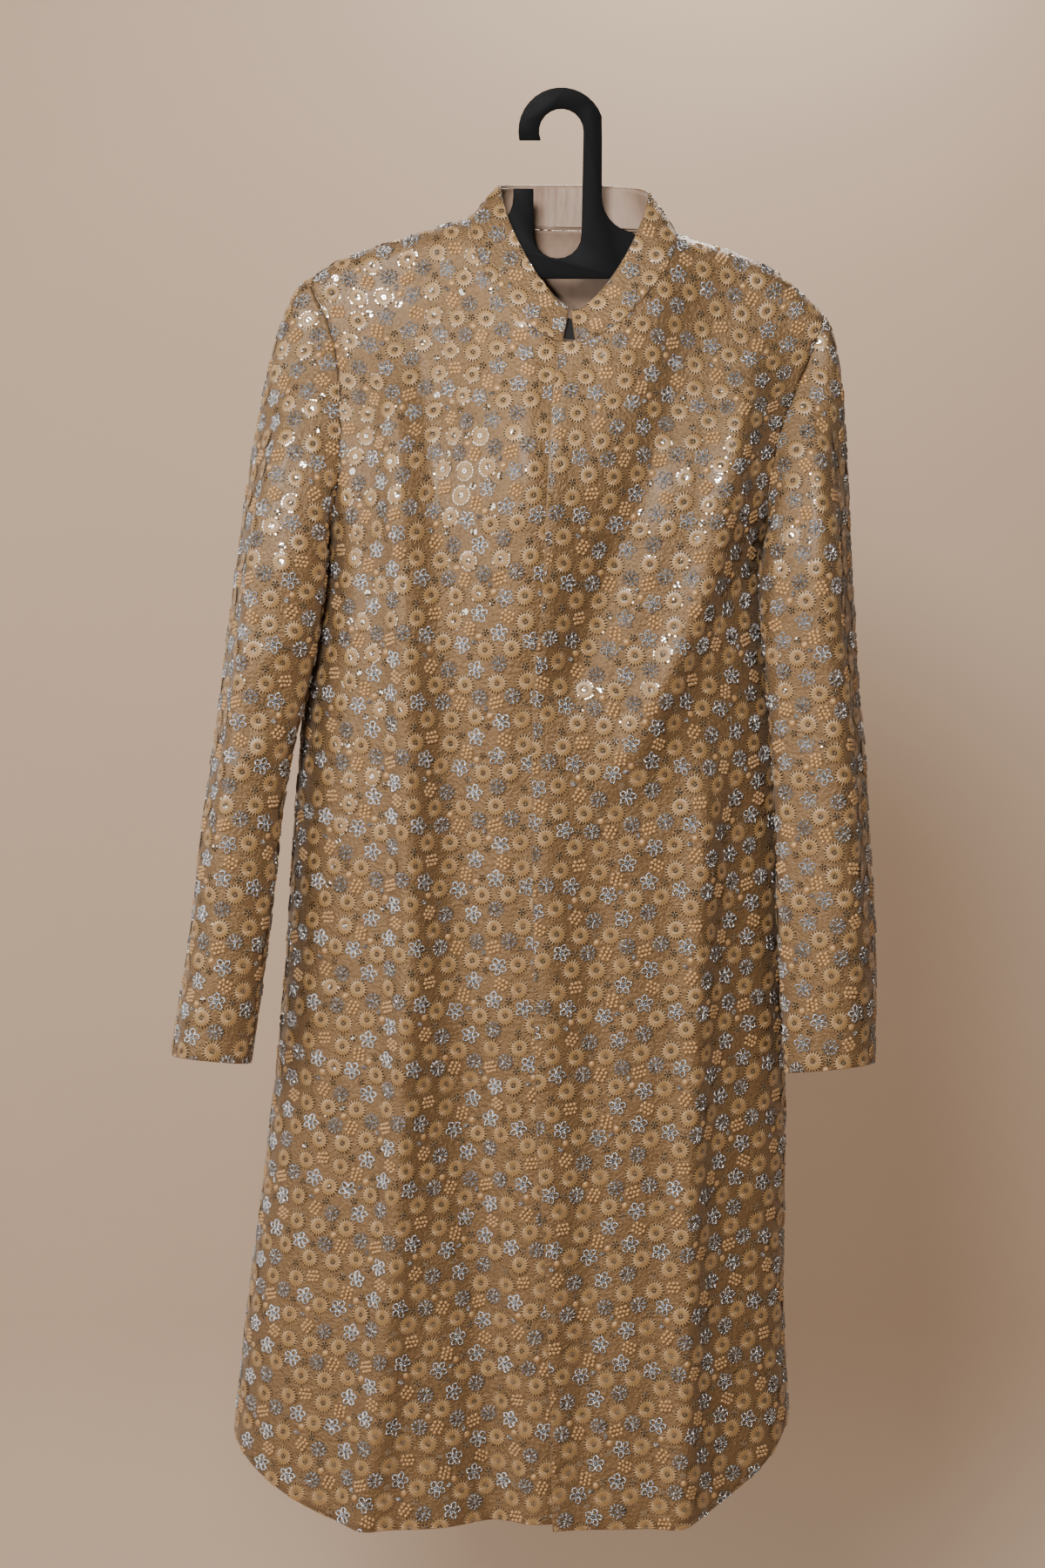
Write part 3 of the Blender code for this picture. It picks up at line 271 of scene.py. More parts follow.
# Folds of the sleeves. Columns: angle, top z, bottom z, half angle, height.
SLEEVE_FOLDS_LEFT = (
    (40.0, -0.19, -0.62, 22.0, -0.0035),
    (72.0, -0.20, -0.70, 20.0, 0.0035),
    (-60.0, -0.22, -0.60, 26.0, 0.0040),
    (-25.0, -0.30, -0.76, 24.0, -0.0035),
)
SLEEVE_FOLDS_RIGHT = (
    (38.0, -0.22, -0.74, 22.0, -0.0040),
    (78.0, -0.24, -0.80, 20.0, 0.0040),
    (-58.0, -0.24, -0.62, 26.0, 0.0040),
    (-20.0, -0.30, -0.76, 24.0, -0.0030),
)

# Hanger
PLATE = 0.0060
HOOK_INNER = 0.0187
HOOK_BAND = 0.0174
SHANK_RIGHT_X = 0.0342
SHANK_LEFT_X = 0.0172
HOOK_END_Z = -0.0262
POST_LEFT_X = -0.0403
POST_RIGHT_X = -0.0233
POST_TOP_Z = -0.0662
NOTCH_BOTTOM_Z = -0.1243
NECK_ARC_RADIUS = 0.0300
NECK_ARC_TOP_Z = -0.0727
BODY_BOTTOM_Z = -0.1412
HANGER_UNDER_RIDGE = 0.0022
HOOK_LEAD = (20.0, 0.006)   # where the hook's outside runs into the shank: angle and drop
NECK_ARC_END = 76.0
ARM_START_LEFT = (-0.0800, -0.1065)     # top edge of each arm beside the neck
ARM_START_RIGHT = (0.0860, -0.1130)
# Under edge from the wearer's left to the right. Columns: x, z.
UNDER_EDGE = (
    (0.0850, -0.1480),
    (0.0500, BODY_BOTTOM_Z),
    (-0.0360, BODY_BOTTOM_Z),
    (-0.0700, -0.1430),
)
ARM_DEPTH = 0.034
ARM_UNDER = (0.030, 0.86)   # under corner of an arm's end: run back, share of the depth
ARM_ROUND = (0.34, 1.35)    # radius share of the depth, drop of its centre in radii
ARM_ROUND_BACK = 0.002
ARM_ROUND_ANGLES = (18.0, -70.0)

# How finely the cloth is cut
FRONT_COLUMNS = 56
BACK_COLUMNS = 96
YOKE_ROWS = 36
BODY_ROWS = 100
FRONT_SEAM_ROW = 28         # yoke row where the sleeve's front seam meets the armhole
BACK_SEAM_ROW = 24
CAP_ROWS = 24
SLEEVE_ROWS = 66
SHOULDER_COLUMNS = 28       # columns of each panel that end on one shoulder seam
NECK_SPREAD = 0.045
NECK_SPREAD_START = 0.03    # share of the yoke over which the spread sets in
EDGE_BOW_POWER = 3          # an armhole's curve bends only the columns next to it
NECK_CROWDING = 1.6         # a front's columns crowd where the neck turns over the shoulder
COLLAR_HEIGHTS = tuple(k / 12 for k in range(13))
FACING_HEIGHTS = tuple(0.15 + 0.65 * k / 8 for k in range(9))
FACING_CLEARANCE = 0.0014
NECK_LINING_ROWS = 24
LINING_CLEARANCE = 0.0002
LINING_END_DRAW = 0.60      # a lining's end columns are drawn in by this share of a column
NECK_LINING_DRAW = (0.48, 1.0)      # and its first and last rows to these shares of a row
COLLAR_LINING_DRAW = (0.72, 0.68)
FACING_COLUMNS = 8


# Fine creases of the body, as straight soft ridges in front view.
# Columns: x and z of one end, x and z of the other, half width, height (a trough is negative).
FRONT_CREASES = (
    (-0.1420, -0.200, -0.1300, -0.400, 0.0120, 0.0030),
    (-0.1310, -0.370, -0.1270, -0.720, 0.0120, 0.0042),
    (-0.1270, -0.680, -0.1420, -0.960, 0.0115, 0.0042),
    (-0.1400, -0.920, -0.1590, -1.190, 0.0110, 0.0034),
    (-0.1120, -0.210, -0.1100, -0.480, 0.0150, -0.0034),
    (-0.1080, -0.450, -0.0880, -0.800, 0.0160, -0.0036),
    (-0.0880, -0.760, -0.0620, -1.100, 0.0170, -0.0036),
    (-0.0640, -1.050, -0.0560, -1.230, 0.0160, -0.0030),
    (-0.1640, -0.900, -0.1760, -1.230, 0.0055, 0.0020),
    (-0.0240, -0.230, -0.0200, -0.470, 0.0150, 0.0026),
    (-0.0140, -0.500, -0.0120, -0.900, 0.0130, 0.0018),
    (0.1000, -0.215, 0.0580, -0.360, 0.0170, -0.0046),
    (0.0600, -0.330, 0.0020, -0.500, 0.0170, -0.0044),
    (0.1500, -0.215, 0.1320, -0.335, 0.0110, 0.0044),
    (0.1340, -0.310, 0.1020, -0.445, 0.0105, 0.0046),
    (0.1060, -0.425, 0.0600, -0.515, 0.0105, 0.0034),
    (-0.0180, -0.415, 0.0420, -0.470, 0.0090, 0.0018),
    (0.0390, -0.524, 0.0970, -0.560, 0.0090, 0.0022),
    (0.0300, -0.550, 0.0900, -0.600, 0.0090, -0.0018),
    (0.0350, -0.640, 0.1000, -0.590, 0.0085, 0.0016),
    (0.0320, -0.620, 0.0260, -0.900, 0.0140, -0.0020),
    (0.0260, -0.860, 0.0180, -1.200, 0.0140, -0.0022),
    (-0.0610, -0.832, -0.0330, -0.822, 0.0055, 0.0013),
    (0.0660, -0.816, 0.0970, -0.808, 0.0055, 0.0013),
    (-0.0600, -0.846, -0.0360, -0.837, 0.0055, -0.0010),
    (0.1170, -0.550, 0.1100, -0.800, 0.0090, 0.0026),
    (0.1100, -0.760, 0.1030, -1.020, 0.0090, 0.0030),
    (0.1040, -0.980, 0.1000, -1.220, 0.0090, 0.0030),
    (0.1300, -0.600, 0.1250, -1.200, 0.0120, -0.0024),
    (-0.0380, -0.178, -0.0100, -0.222, 0.0050, -0.0018),
    (-0.1720, -0.300, -0.1600, -0.420, 0.0070, -0.0016),
    (-0.2180, -0.560, -0.2080, -0.900, 0.0100, 0.0018),
    (0.1720, -0.600, 0.1740, -1.000, 0.0090, 0.0016),
)
BACK_CREASES = (
    (-0.1240, -0.400, -0.1300, -0.760, 0.0100, 0.0022),
    (-0.1300, -0.740, -0.1480, -1.230, 0.0090, 0.0030),
    (-0.0640, -0.560, -0.0800, -1.230, 0.0130, -0.0026),
    (-0.0060, -0.500, -0.0180, -0.980, 0.0110, 0.0022),
    (0.0560, -0.620, 0.0480, -1.230, 0.0120, -0.0024),
    (0.1220, -0.440, 0.1180, -1.230, 0.0090, 0.0028),
    (-0.1500, -0.280, -0.0900, -0.390, 0.0110, 0.0020),
    (0.1420, -0.290, 0.0860, -0.400, 0.0110, 0.0022),
    (-0.1640, -0.330, -0.1120, -0.450, 0.0100, -0.0018),
    (0.1540, -0.350, 0.1100, -0.470, 0.0100, -0.0018),
    (-0.0400, -0.128, 0.0560, -0.130, 0.0070, 0.0014),
    (0.0860, -0.690, 0.1120, -0.640, 0.0070, 0.0014),
    (-0.1080, -0.660, -0.0720, -0.700, 0.0070, 0.0014),
    (-0.0940, -0.880, -0.0520, -0.866, 0.0060, 0.0012),
    (0.0240, -0.900, 0.0720, -0.890, 0.0060, 0.0012),
)
# Fine creases of the sleeves. Columns: angle and z of one end, of the other, half width, height.
CREASES_LEFT_SIDE = (
    (64.0, -0.200, 58.0, -0.420, 0.0070, 0.0020),
    (88.0, -0.230, 80.0, -0.520, 0.0070, -0.0016),
    (122.0, -0.420, 70.0, -0.480, 0.0080, 0.0020),
    (128.0, -0.460, 74.0, -0.530, 0.0075, -0.0018),
    (118.0, -0.520, 60.0, -0.560, 0.0075, 0.0016),
    (30.0, -0.500, 44.0, -0.740, 0.0080, 0.0018),
    (-70.0, -0.400, -110.0, -0.470, 0.0080, 0.0020),
    (-64.0, -0.460, -112.0, -0.540, 0.0080, -0.0018),
    (-30.0, -0.240, -40.0, -0.520, 0.0090, 0.0016),
    (150.0, -0.600, 118.0, -0.720, 0.0080, 0.0014),
)
CREASES_RIGHT_SIDE = (
    (76.0, -0.230, 96.0, -0.500, 0.0075, 0.0022),
    (96.0, -0.480, 92.0, -0.780, 0.0070, 0.0020),
    (28.0, -0.235, 62.0, -0.330, 0.0070, -0.0024),
    (14.0, -0.225, 46.0, -0.275, 0.0070, 0.0022),
    (52.0, -0.300, 44.0, -0.560, 0.0080, -0.0016),
    (20.0, -0.440, 66.0, -0.500, 0.0080, 0.0016),
    (18.0, -0.490, 70.0, -0.560, 0.0080, -0.0016),
    (-66.0, -0.400, -112.0, -0.460, 0.0080, 0.0020),
    (-60.0, -0.450, -108.0, -0.530, 0.0080, -0.0020),
    (-26.0, -0.260, -36.0, -0.560, 0.0090, 0.0016),
)
SLEEVE_GIRTH = 0.050        # metres along a sleeve for one radian round it


# ---------------------------------------------------------------- sizes of the dressed coat
SHELL_WALL = 0.0018         # brocade with its canvas and satin lining
CREASE_FADE = 0.25          # share of a crease over which each of its ends fades
LEAST_ACROSS = 0.30         # least share of a step that counts as across
LOCATE_CELL = 0.010
RIM_ROUND = 0.0007
EMBROIDERY_LIFT = 0.00012   # the flat parts of a motif stand this far off the cloth
MOTIF_REACH = 0.010
FIT_MISS = 0.0006           # a stitch further than this from its place on the cloth is left out
RELAX_ROUNDS = 2000
OVER_RELAX = 1.5
WHEEL_SPOKES = 20
UNDERLAP_HIDDEN = 0.010     # the under front has no embroidery further in than this
BACK_SPLIT_ROW = 74         # the back is embroidered in two pieces that meet at this row
HANGER_EASE = 0.0008
CAMERA_PLACE = (-0.0326, -2.779, -0.230)
FLOOR_Z = -1.90
WALL_Y = 1.20
WALL_CURVE = 0.50


# ---------------------------------------------------------------- curves and tables
def smooth(table, at, key=0):
    """Value of each other column where column key is at: a monotone cubic through the rows."""
    rows = np.array(table, dtype=float)
    if rows[0, key] > rows[-1, key]:
        rows = rows[::-1]
    keys = rows[:, key]
    others = np.delete(rows, key, axis=1)
    at = np.clip(np.asarray(at, dtype=float), keys[0], keys[-1])
    steps = np.diff(keys)[:, None]
    slopes = np.diff(others, axis=0) / steps
    tangents = np.zeros_like(others)
    tangents[0] = slopes[0]
    tangents[-1] = slopes[-1]
    same_way = slopes[:-1] * slopes[1:] > 0
    with np.errstate(divide="ignore", invalid="ignore"):
        harmonic = 2.0 * slopes[:-1] * slopes[1:] / (slopes[:-1] + slopes[1:])
    tangents[1:-1] = np.where(same_way, harmonic, 0.0)
    index = np.clip(np.searchsorted(keys, at, side="right") - 1, 0, len(keys) - 2)
    span = steps[index, 0]
    t = ((at - keys[index]) / span)[..., None]
    a, b = others[index], others[index + 1]
    ta, tb = tangents[index] * span[..., None], tangents[index + 1] * span[..., None]
    value = (2 * t**3 - 3 * t**2 + 1) * a + (t**3 - 2 * t**2 + t) * ta
    value = value + (3 * t**2 - 2 * t**3) * b + (t**3 - t**2) * tb
    return [value[..., i] for i in range(value.shape[-1])]


def ease(t):
    """0 to 1 with level ends."""
    t = np.clip(t, 0.0, 1.0)
    return t * t * (3.0 - 2.0 * t)


def power_wave(value, power):
    """Superellipse form of a sine or cosine."""
    return np.sign(value) * np.abs(value) ** (2.0 / power)


def ridge_z(x):
    return smooth(RIDGE_LINE, x)[0]


def ridge_radius(x):
    near_neck = np.exp(-((x - NECK_CENTRE_X) / RIDGE_NECK_REACH) ** 4)
    return RIDGE_RADIUS_TIP + (RIDGE_RADIUS_NECK - RIDGE_RADIUS_TIP) * near_neck


def crease_height(creases, x, z):
    """Sum of the fine creases at x, z."""
    total = np.zeros_like(x)
    for x0, z0, x1, z1, half_width, height in creases:
        run_x, run_z = x1 - x0, z1 - z0
        t = ((x - x0) * run_x + (z - z0) * run_z) / (run_x**2 + run_z**2)
        inside = np.clip(t, 0.0, 1.0)
        away = (x - x0 - inside * run_x) ** 2 + (z - z0 - inside * run_z) ** 2
        fade = ease(inside / CREASE_FADE) * ease((1.0 - inside) / CREASE_FADE)
        total = total + height * fade * np.exp(-away / half_width**2)
    return total


# ---------------------------------------------------------------- the body's surface
def fold_height(folds, x, z):
    """Sum of the folds at x, z: each is a soft ridge along its own line, faded at its ends."""
    total = np.zeros_like(x)
    for top, bottom, x_top, x_middle, x_bottom, half_width, height in folds:
        t = np.clip((z - top) / (bottom - top), 0.0, 1.0)
        line = x_top * (1 - t) * (1 - 2 * t) + 4 * x_middle * t * (1 - t) + x_bottom * t * (2 * t - 1)
        fade = ease((top - z) / FOLD_FADE) * ease((z - bottom) / FOLD_FADE)
        total = total + height * fade * np.exp(-((x - line) / half_width) ** 2)
    return total


def body_x(angle, z):
    """Front-view x of a ring angle: 0 at the middle, plus or minus a right angle at the sides."""
    left, right, _, _ = smooth(BODY_LEVELS, z)
    centre = (left + right) / 2
    half = (right - left) / 2
    return centre + half * power_wave(np.sin(angle), RING_POWER)


def ring_angle(x, z):
    """Ring angle at a front-view x, the inverse of body_x."""
    left, right, _, _ = smooth(BODY_LEVELS, z)
    centre = (left + right) / 2
    half = (right - left) / 2
    t = np.clip((x - centre) / half, -1.0, 1.0)
    return np.sign(t) * np.arcsin(np.abs(t) ** (RING_POWER / 2.0))


def body_point(angle, z, inset, back=False):
    """Point of the front or back surface at a ring angle and level, inset towards the inside."""
    angle, z, inset = np.broadcast_arrays(np.asarray(angle, float), np.asarray(z, float), inset)
    left, right, front_depth, back_depth = smooth(BODY_LEVELS, z)
    centre = (left + right) / 2
    half = (right - left) / 2
    depth = back_depth if back else front_depth
    across = power_wave(np.sin(angle), RING_POWER)
    out = power_wave(np.abs(np.cos(angle)), RING_POWER)
    outer_x = centre + half * across
    drop = np.maximum(ridge_z(outer_x) - z, 0.0)
    radius = np.minimum(ridge_radius(outer_x), np.maximum(depth * out, 1e-6))
    turn = np.clip(drop / radius, 0.0, 1.0)
    sine = np.sqrt(np.maximum(1.0 - (1.0 - turn) ** 2, 0.0))
    swell = np.sin(0.5 * math.pi * np.clip(drop / FULL_DEPTH_DROP, 0.0, 1.0)) ** 2
    y = radius * sine + (depth * out - radius) * swell
    folds = fold_height(BACK_FOLDS if back else FRONT_FOLDS, outer_x, z)
    folds = folds + crease_height(BACK_CREASES if back else FRONT_CREASES, outer_x, z)
    folds = folds * (1.0 - np.abs(across) ** FOLD_SIDE_POWER) * ease(drop / FOLD_RIDGE_FADE)
    normal_x = np.sin(angle) / half
    normal_y = np.cos(angle) / depth
    length = np.hypot(normal_x, normal_y)
    normal_x = normal_x / length
    normal_y = normal_y / length
    sideways = np.minimum(1.0, sine + np.abs(across) ** SIDE_INSET_POWER)
    x = outer_x + folds * normal_x - inset * across * sideways
    slit = SLIT_HALF_GAP * ease((SLIT_TOP_Z - z) / SLIT_RUN) * np.abs(across) ** SLIT_POWER
    y = y + folds * normal_y - inset * np.minimum(sine, 1.0) * np.minimum(1.0, out * SIDE_INSET_FULL)
    y = np.maximum(y, 0.0) + SEAM_GAP / 2 + slit
    z_in = z - inset * (1.0 - turn)
    side = 1.0 if back else -1.0
    return np.stack([x, side * y, z_in], axis=-1)


# ---------------------------------------------------------------- seam lines in front view
def neck_seam(angle):
    """x and z of the neck seam: angle 0 at centre front, half a turn at centre back."""
    across = np.sin(angle)
    along = np.cos(angle)
    is_left = across < 0
    power = np.where(is_left, NECK_POWER_LEFT, NECK_POWER_RIGHT)
    power = np.where(along < 0, 2.0, power)
    x = NECK_CENTRE_X + NECK_HALF_WIDTH * power_wave(across, power)
    side_x = np.where(is_left, NECK_CENTRE_X - NECK_HALF_WIDTH, NECK_CENTRE_X + NECK_HALF_WIDTH)
    side_z = ridge_z(side_x)
    end_z = np.where(along < 0, NECK_BACK_Z, NECK_FRONT_Z)
    share = np.abs(power_wave(along, power)) ** np.where(along < 0, NECK_BACK_FLATNESS, 1.0)
    return x, side_z * (1 - share) + end_z * share


def neck_angle(x, back=False):
    """Neck-seam angle at a front-view x."""
    t = np.clip((x - NECK_CENTRE_X) / NECK_HALF_WIDTH, -1.0, 1.0)
    power = np.where(t < 0, NECK_POWER_LEFT, NECK_POWER_RIGHT)
    if back:
        power = np.full_like(t, 2.0)
    angle = np.sign(t) * np.arcsin(np.abs(t) ** (power / 2.0))
    return math.pi - angle if back else angle


def upper_edge_x(z):
    return smooth(FRONT_EDGE, z)[0]


def hem_z(angle, middle_z):
    """Level of the hem at a ring angle: straight, then a round corner at each side."""
    level = np.full_like(angle, middle_z)
    x = body_x(angle, level)
    left_x = body_x(np.full_like(angle, -0.5 * math.pi), level)
    right_x = body_x(np.full_like(angle, 0.5 * math.pi), level)
    to_left = (x - HEM_CORNER_LEFT_X) / (left_x - HEM_CORNER_LEFT_X)
    to_right = (x - HEM_CORNER_RIGHT_X) / (right_x - HEM_CORNER_RIGHT_X)
    t = np.clip(np.where(x < 0, to_left, to_right), 0.0, 1.0)
    corner = 1.0 - (1.0 - t**HEM_CORNER_POWER * 0.999) ** (1.0 / HEM_CORNER_POWER)
    rise = np.where(x < 0, HEM_RISE_LEFT + HEM_DIP_LEFT, HEM_RISE_RIGHT)
    dip = HEM_DIP_LEFT * ease(x / HEM_CORNER_LEFT_X)
    return middle_z - dip + rise * corner


# ---------------------------------------------------------------- panel grids
def yoke_share(t):
    """Share of the way down an armhole at row share t: the rows crowd at the shoulder ridge."""
    return 0.5 * t**2 + 0.25 * (1.0 - np.cos(math.pi * t))


def panel_corners(top, inner_edge, outer_edge, columns, rows):
    """Ring-angle and level grid of a yoke patch that its four edges bound."""
    u = np.linspace(0.0, 1.0, columns + 1)[None, :]
    v = yoke_share(np.linspace(0.0, 1.0, rows + 1))[:, None]
    grids = []
    for k in range(2):
        upper = top[:, k][None, :]
        near = inner_edge[:, k][:, None]
        far = outer_edge[:, k][:, None]
        base = near[-1] * (1 - u) + far[-1] * u
        near_bow = near - (near[0] * (1 - v) + near[-1] * v)
        far_bow = far - (far[0] * (1 - v) + far[-1] * v)
        bow = (1 - u) ** EDGE_BOW_POWER * near_bow + u**EDGE_BOW_POWER * far_bow
        grids.append((1 - v) * upper + v * base + bow)
    return grids[0], grids[1]


def neck_spread(neck_column, columns, rows):
    """Ring angle that moves the columns by the side of the neck outwards, away from its steep seam."""
    column = np.arange(columns + 1)
    near = np.clip(column / neck_column, 0.0, 1.0) ** 3
    far = np.clip((columns - column) / (columns - neck_column), 0.0, 1.0) ** 2
    v = yoke_share(np.linspace(0.0, 1.0, rows + 1))[:, None]
    down = (1.0 - np.exp(-v / NECK_SPREAD_START)) * (1.0 - v) ** 2
    return NECK_SPREAD * np.minimum(near, far)[None, :] * down


def armhole_edge(table, rows, back):
    """Ring angle and level down one armhole, with the rows close together at the top."""
    t = np.linspace(0.0, 1.0, rows + 1)
    top, bottom = table[0][0], table[-1][0]
    z = top + (bottom - top) * yoke_share(t)
    column = 1 if back else 0
    x = smooth(table, z)[column]
    angle = ring_angle(x, z)
    angle[-1] = math.copysign(0.5 * math.pi, x[-1])
    return np.stack([angle, z], axis=-1)


def front_panel(side, columns, yoke_rows, body_rows):
    """Ring-angle and level grid of a front panel. side is -1 for the wearer's right."""
    table = ARMHOLE_LEFT_SIDE if side < 0 else ARMHOLE_RIGHT_SIDE
    over = side > 0
    lap = 0.0 if over else UNDERLAP
    hem_middle = HEM_UPPER_Z if over else HEM_UNDER_Z
    top = []
    neck = neck_columns(side, columns)
    last = len(neck) - 1
    for i in range(columns + 1):
        if i <= last:
            x, z = neck_seam(np.array(neck[i]))
        else:
            share = (i - last) / (columns - last)
            side_x = NECK_CENTRE_X + side * NECK_HALF_WIDTH
            x = side_x + (table[0][1] - side_x) * share
            z = ridge_z(x)
        top.append((float(ring_angle(x, z)), float(z)))
    top = np.array(top)
    top[0, 1] -= 0.0 if over else UNDERLAP_DROP
    t = yoke_share(np.linspace(0.0, 1.0, yoke_rows + 1))
    near_z = top[0, 1] + (ARMPIT_Z - top[0, 1]) * t
    near = np.stack([ring_angle(upper_edge_x(near_z) + lap, near_z), near_z], axis=-1)
    top[0] = near[0]
    far = armhole_edge(table, yoke_rows, False)
    top[-1] = far[0]
    yoke = panel_corners(top, near, far, columns, yoke_rows)
    yoke = (yoke[0] + side * neck_spread(last, columns, yoke_rows), yoke[1])
    u = np.linspace(0.0, 1.0, columns + 1)[None, :]
    v = np.linspace(0.0, 1.0, body_rows + 1)[1:, None]
    middle_angle = ring_angle(upper_edge_x(np.array(hem_middle)) + lap, np.array(hem_middle))
    bottom_angle = middle_angle + (side * 0.5 * math.pi - middle_angle) * u
    bottom_z = hem_z(bottom_angle, hem_middle)
    z = ARMPIT_Z + (bottom_z - ARMPIT_Z) * v
    edge = ring_angle(upper_edge_x(z) + lap, z)
    angle = edge + (side * 0.5 * math.pi - edge) * u
    return np.concatenate([yoke[0], angle]), np.concatenate([yoke[1], z])


def back_panel(columns, yoke_rows, body_rows):
    """Ring-angle and level grid of the back, from the left side to the right."""
    neck = back_neck_columns(columns)
    shoulder = (columns + 1 - len(neck)) // 2
    top = []
    for i in range(columns + 1):
        if shoulder <= i < shoulder + len(neck):
            x, z = neck_seam(np.array(neck[i - shoulder]))
        elif i < shoulder:
            end = ARMHOLE_LEFT_SIDE[0][2]
            x = end + (NECK_CENTRE_X - NECK_HALF_WIDTH - end) * i / shoulder
            z = ridge_z(x)
        else:
            end = ARMHOLE_RIGHT_SIDE[0][2]
            x = end + (NECK_CENTRE_X + NECK_HALF_WIDTH - end) * (columns - i) / shoulder
            z = ridge_z(x)
        top.append((float(ring_angle(x, z)), float(z)))
    top = np.array(top)
    near = armhole_edge(ARMHOLE_LEFT_SIDE, yoke_rows, True)
    far = armhole_edge(ARMHOLE_RIGHT_SIDE, yoke_rows, True)
    top[0] = near[0]
    top[-1] = far[0]
    yoke = panel_corners(top, near, far, columns, yoke_rows)
    u = np.linspace(0.0, 1.0, columns + 1)[None, :]
    v = np.linspace(0.0, 1.0, body_rows + 1)[1:, None]
    angle = -0.5 * math.pi + math.pi * u + 0 * v
    z = ARMPIT_Z + (hem_z(angle, HEM_BACK_Z) - ARMPIT_Z) * v
    return np.concatenate([yoke[0], angle]), np.concatenate([yoke[1], z])


def underlap_inset(angle, z):
    """How far the right front sinks where the left front laps over it."""
    past = body_x(angle, z) - (upper_edge_x(z) - UNDERLAP_RAMP)
    return UNDERLAP_INSET * ease(past / (UNDERLAP_RAMP - UNDERLAP_LEVEL))


# ---------------------------------------------------------------- sleeves
def armhole_loop(table, side, angles):
    """Points of the armhole seam: angle 0 at the shoulder tip, half a turn at the armpit."""
    points = []
    top, bottom = table[0][0], table[-1][0]
    for angle in angles % (2 * math.pi):
        back = angle > math.pi
        t = (2 * math.pi - angle if back else angle) / math.pi
        z = np.array(top + (bottom - top) * yoke_share(t))
        x = smooth(table, z)[1 if back else 0]
        ring = ring_angle(x, z)
        if t > 0.9999:
            ring = np.array(side * 0.5 * math.pi)
        points.append(body_point(ring, z, 0.0, back))
    return np.array(points)


def sleeve_ring(table, side, z, angles):
    """Ring of the hanging sleeve at one level. Angle 0 is outside, a quarter turn the front."""
    outer, inner, middle_y, half_depth, wrap = smooth(table, z)
    inner_wall = inner + side * wrap
    centre = (outer + inner_wall) / 2
    half = abs(outer - inner_wall) / 2
    x = centre + side * half * power_wave(np.cos(angles), SLEEVE_POWER)
    fold_angle = math.radians(SLEEVE_FRONT_FOLD_ANGLE)
    short = wrap + half * (1.0 + power_wave(math.cos(fold_angle), SLEEVE_POWER))
    away = np.remainder(angles - fold_angle + math.pi, 2 * math.pi) - math.pi
    x = x - side * short * np.exp(-(away / math.radians(SLEEVE_FRONT_FOLD_REACH)) ** 2)
    y = middle_y - half_depth * power_wave(np.sin(angles), SLEEVE_POWER)
    return np.stack([x, y, np.full_like(x, z)], axis=-1)


def sleeve_form(side, angles, cap_rows, rows):
    """Grid of points from the armhole to the cuff, before its folds: one row for each ring."""
    table = SLEEVE_LEFT_SIDE if side < 0 else SLEEVE_RIGHT_SIDE
    loop = armhole_loop(ARMHOLE_LEFT_SIDE if side < 0 else ARMHOLE_RIGHT_SIDE, side, angles)
    outward = np.array([side, 0.0, 0.0])
    loop = loop + outward * SEAM_GAP * ARMHOLE_STAND_OFF
    top_z, cuff_z = table[0][0], table[-1][0]
    landing = sleeve_ring(table, side, top_z, angles)
    below = sleeve_ring(table, side, top_z - CAP_STEP, angles)
    down = (below - landing) / np.linalg.norm(below - landing, axis=1)[:, None]
    high = ease(0.5 + 0.5 * np.cos(angles))[:, None]
    front = -np.sin(angles)[:, None] * np.array([0.0, 1.0, 0.0])
    head_out, head_down = CAP_HEAD[0 if side < 0 else 1]
    head = np.array([side * head_out, 0.0, head_down])
    side_out, side_down = CAP_SIDE
    start = high * head + (1 - high) * (outward * side_out + down * side_down)
    start = start + front * CAP_FRONT
    distance = np.linalg.norm(landing - loop, axis=1)[:, None]
    end = down * np.minimum(CAP_LAND, distance * CAP_LAND_SHARE)
    grid = []
    for i in range(cap_rows + 1):
        t = (i / cap_rows) ** CAP_ROW_POWER
        grid.append((2 * t**3 - 3 * t**2 + 1) * loop + (t**3 - 2 * t**2 + t) * start
                    + (3 * t**2 - 2 * t**3) * landing + (t**3 - t**2) * end)
    for i in range(1, rows + 1):
        z = top_z + (cuff_z - top_z) * i / rows
        ring = sleeve_ring(table, side, z, angles)
        from_middle = ring - ring.mean(axis=0)
        cut = CUFF_SLOPE * side * from_middle[:, 0] - CUFF_TILT * from_middle[:, 1]
        ring[:, 2] += cut * i / rows
        grid.append(ring)
    return np.array(grid)


def sleeve_surface(side, angles, cap_rows, rows):
    """Outer points with their folds, and the outward normals there."""
    grid = sleeve_form(side, angles, cap_rows, rows)
    ahead = sleeve_form(side, angles + NORMAL_STEP, cap_rows, rows)
    around = ahead - sleeve_form(side, angles - NORMAL_STEP, cap_rows, rows)
    normal = np.cross(around, np.gradient(grid, axis=0))
    normal = normal / np.linalg.norm(normal, axis=2)[..., None]
    out = grid - grid.mean(axis=1, keepdims=True)
    if np.sum(normal[-1] * out[-1]) < 0:
        normal = -normal
    folds = SLEEVE_FOLDS_LEFT if side < 0 else SLEEVE_FOLDS_RIGHT
    creases = CREASES_LEFT_SIDE if side < 0 else CREASES_RIGHT_SIDE
    height = sleeve_folds(folds, angles, grid[..., 2]) + sleeve_creases(creases, angles, grid[..., 2])
    grid = grid + normal * height[..., None]
    high = ease(0.5 + 0.5 * np.cos(angles))
    normal[0, :, 0] *= 1.0 - high
    return grid, normal / np.linalg.norm(normal, axis=2)[..., None]


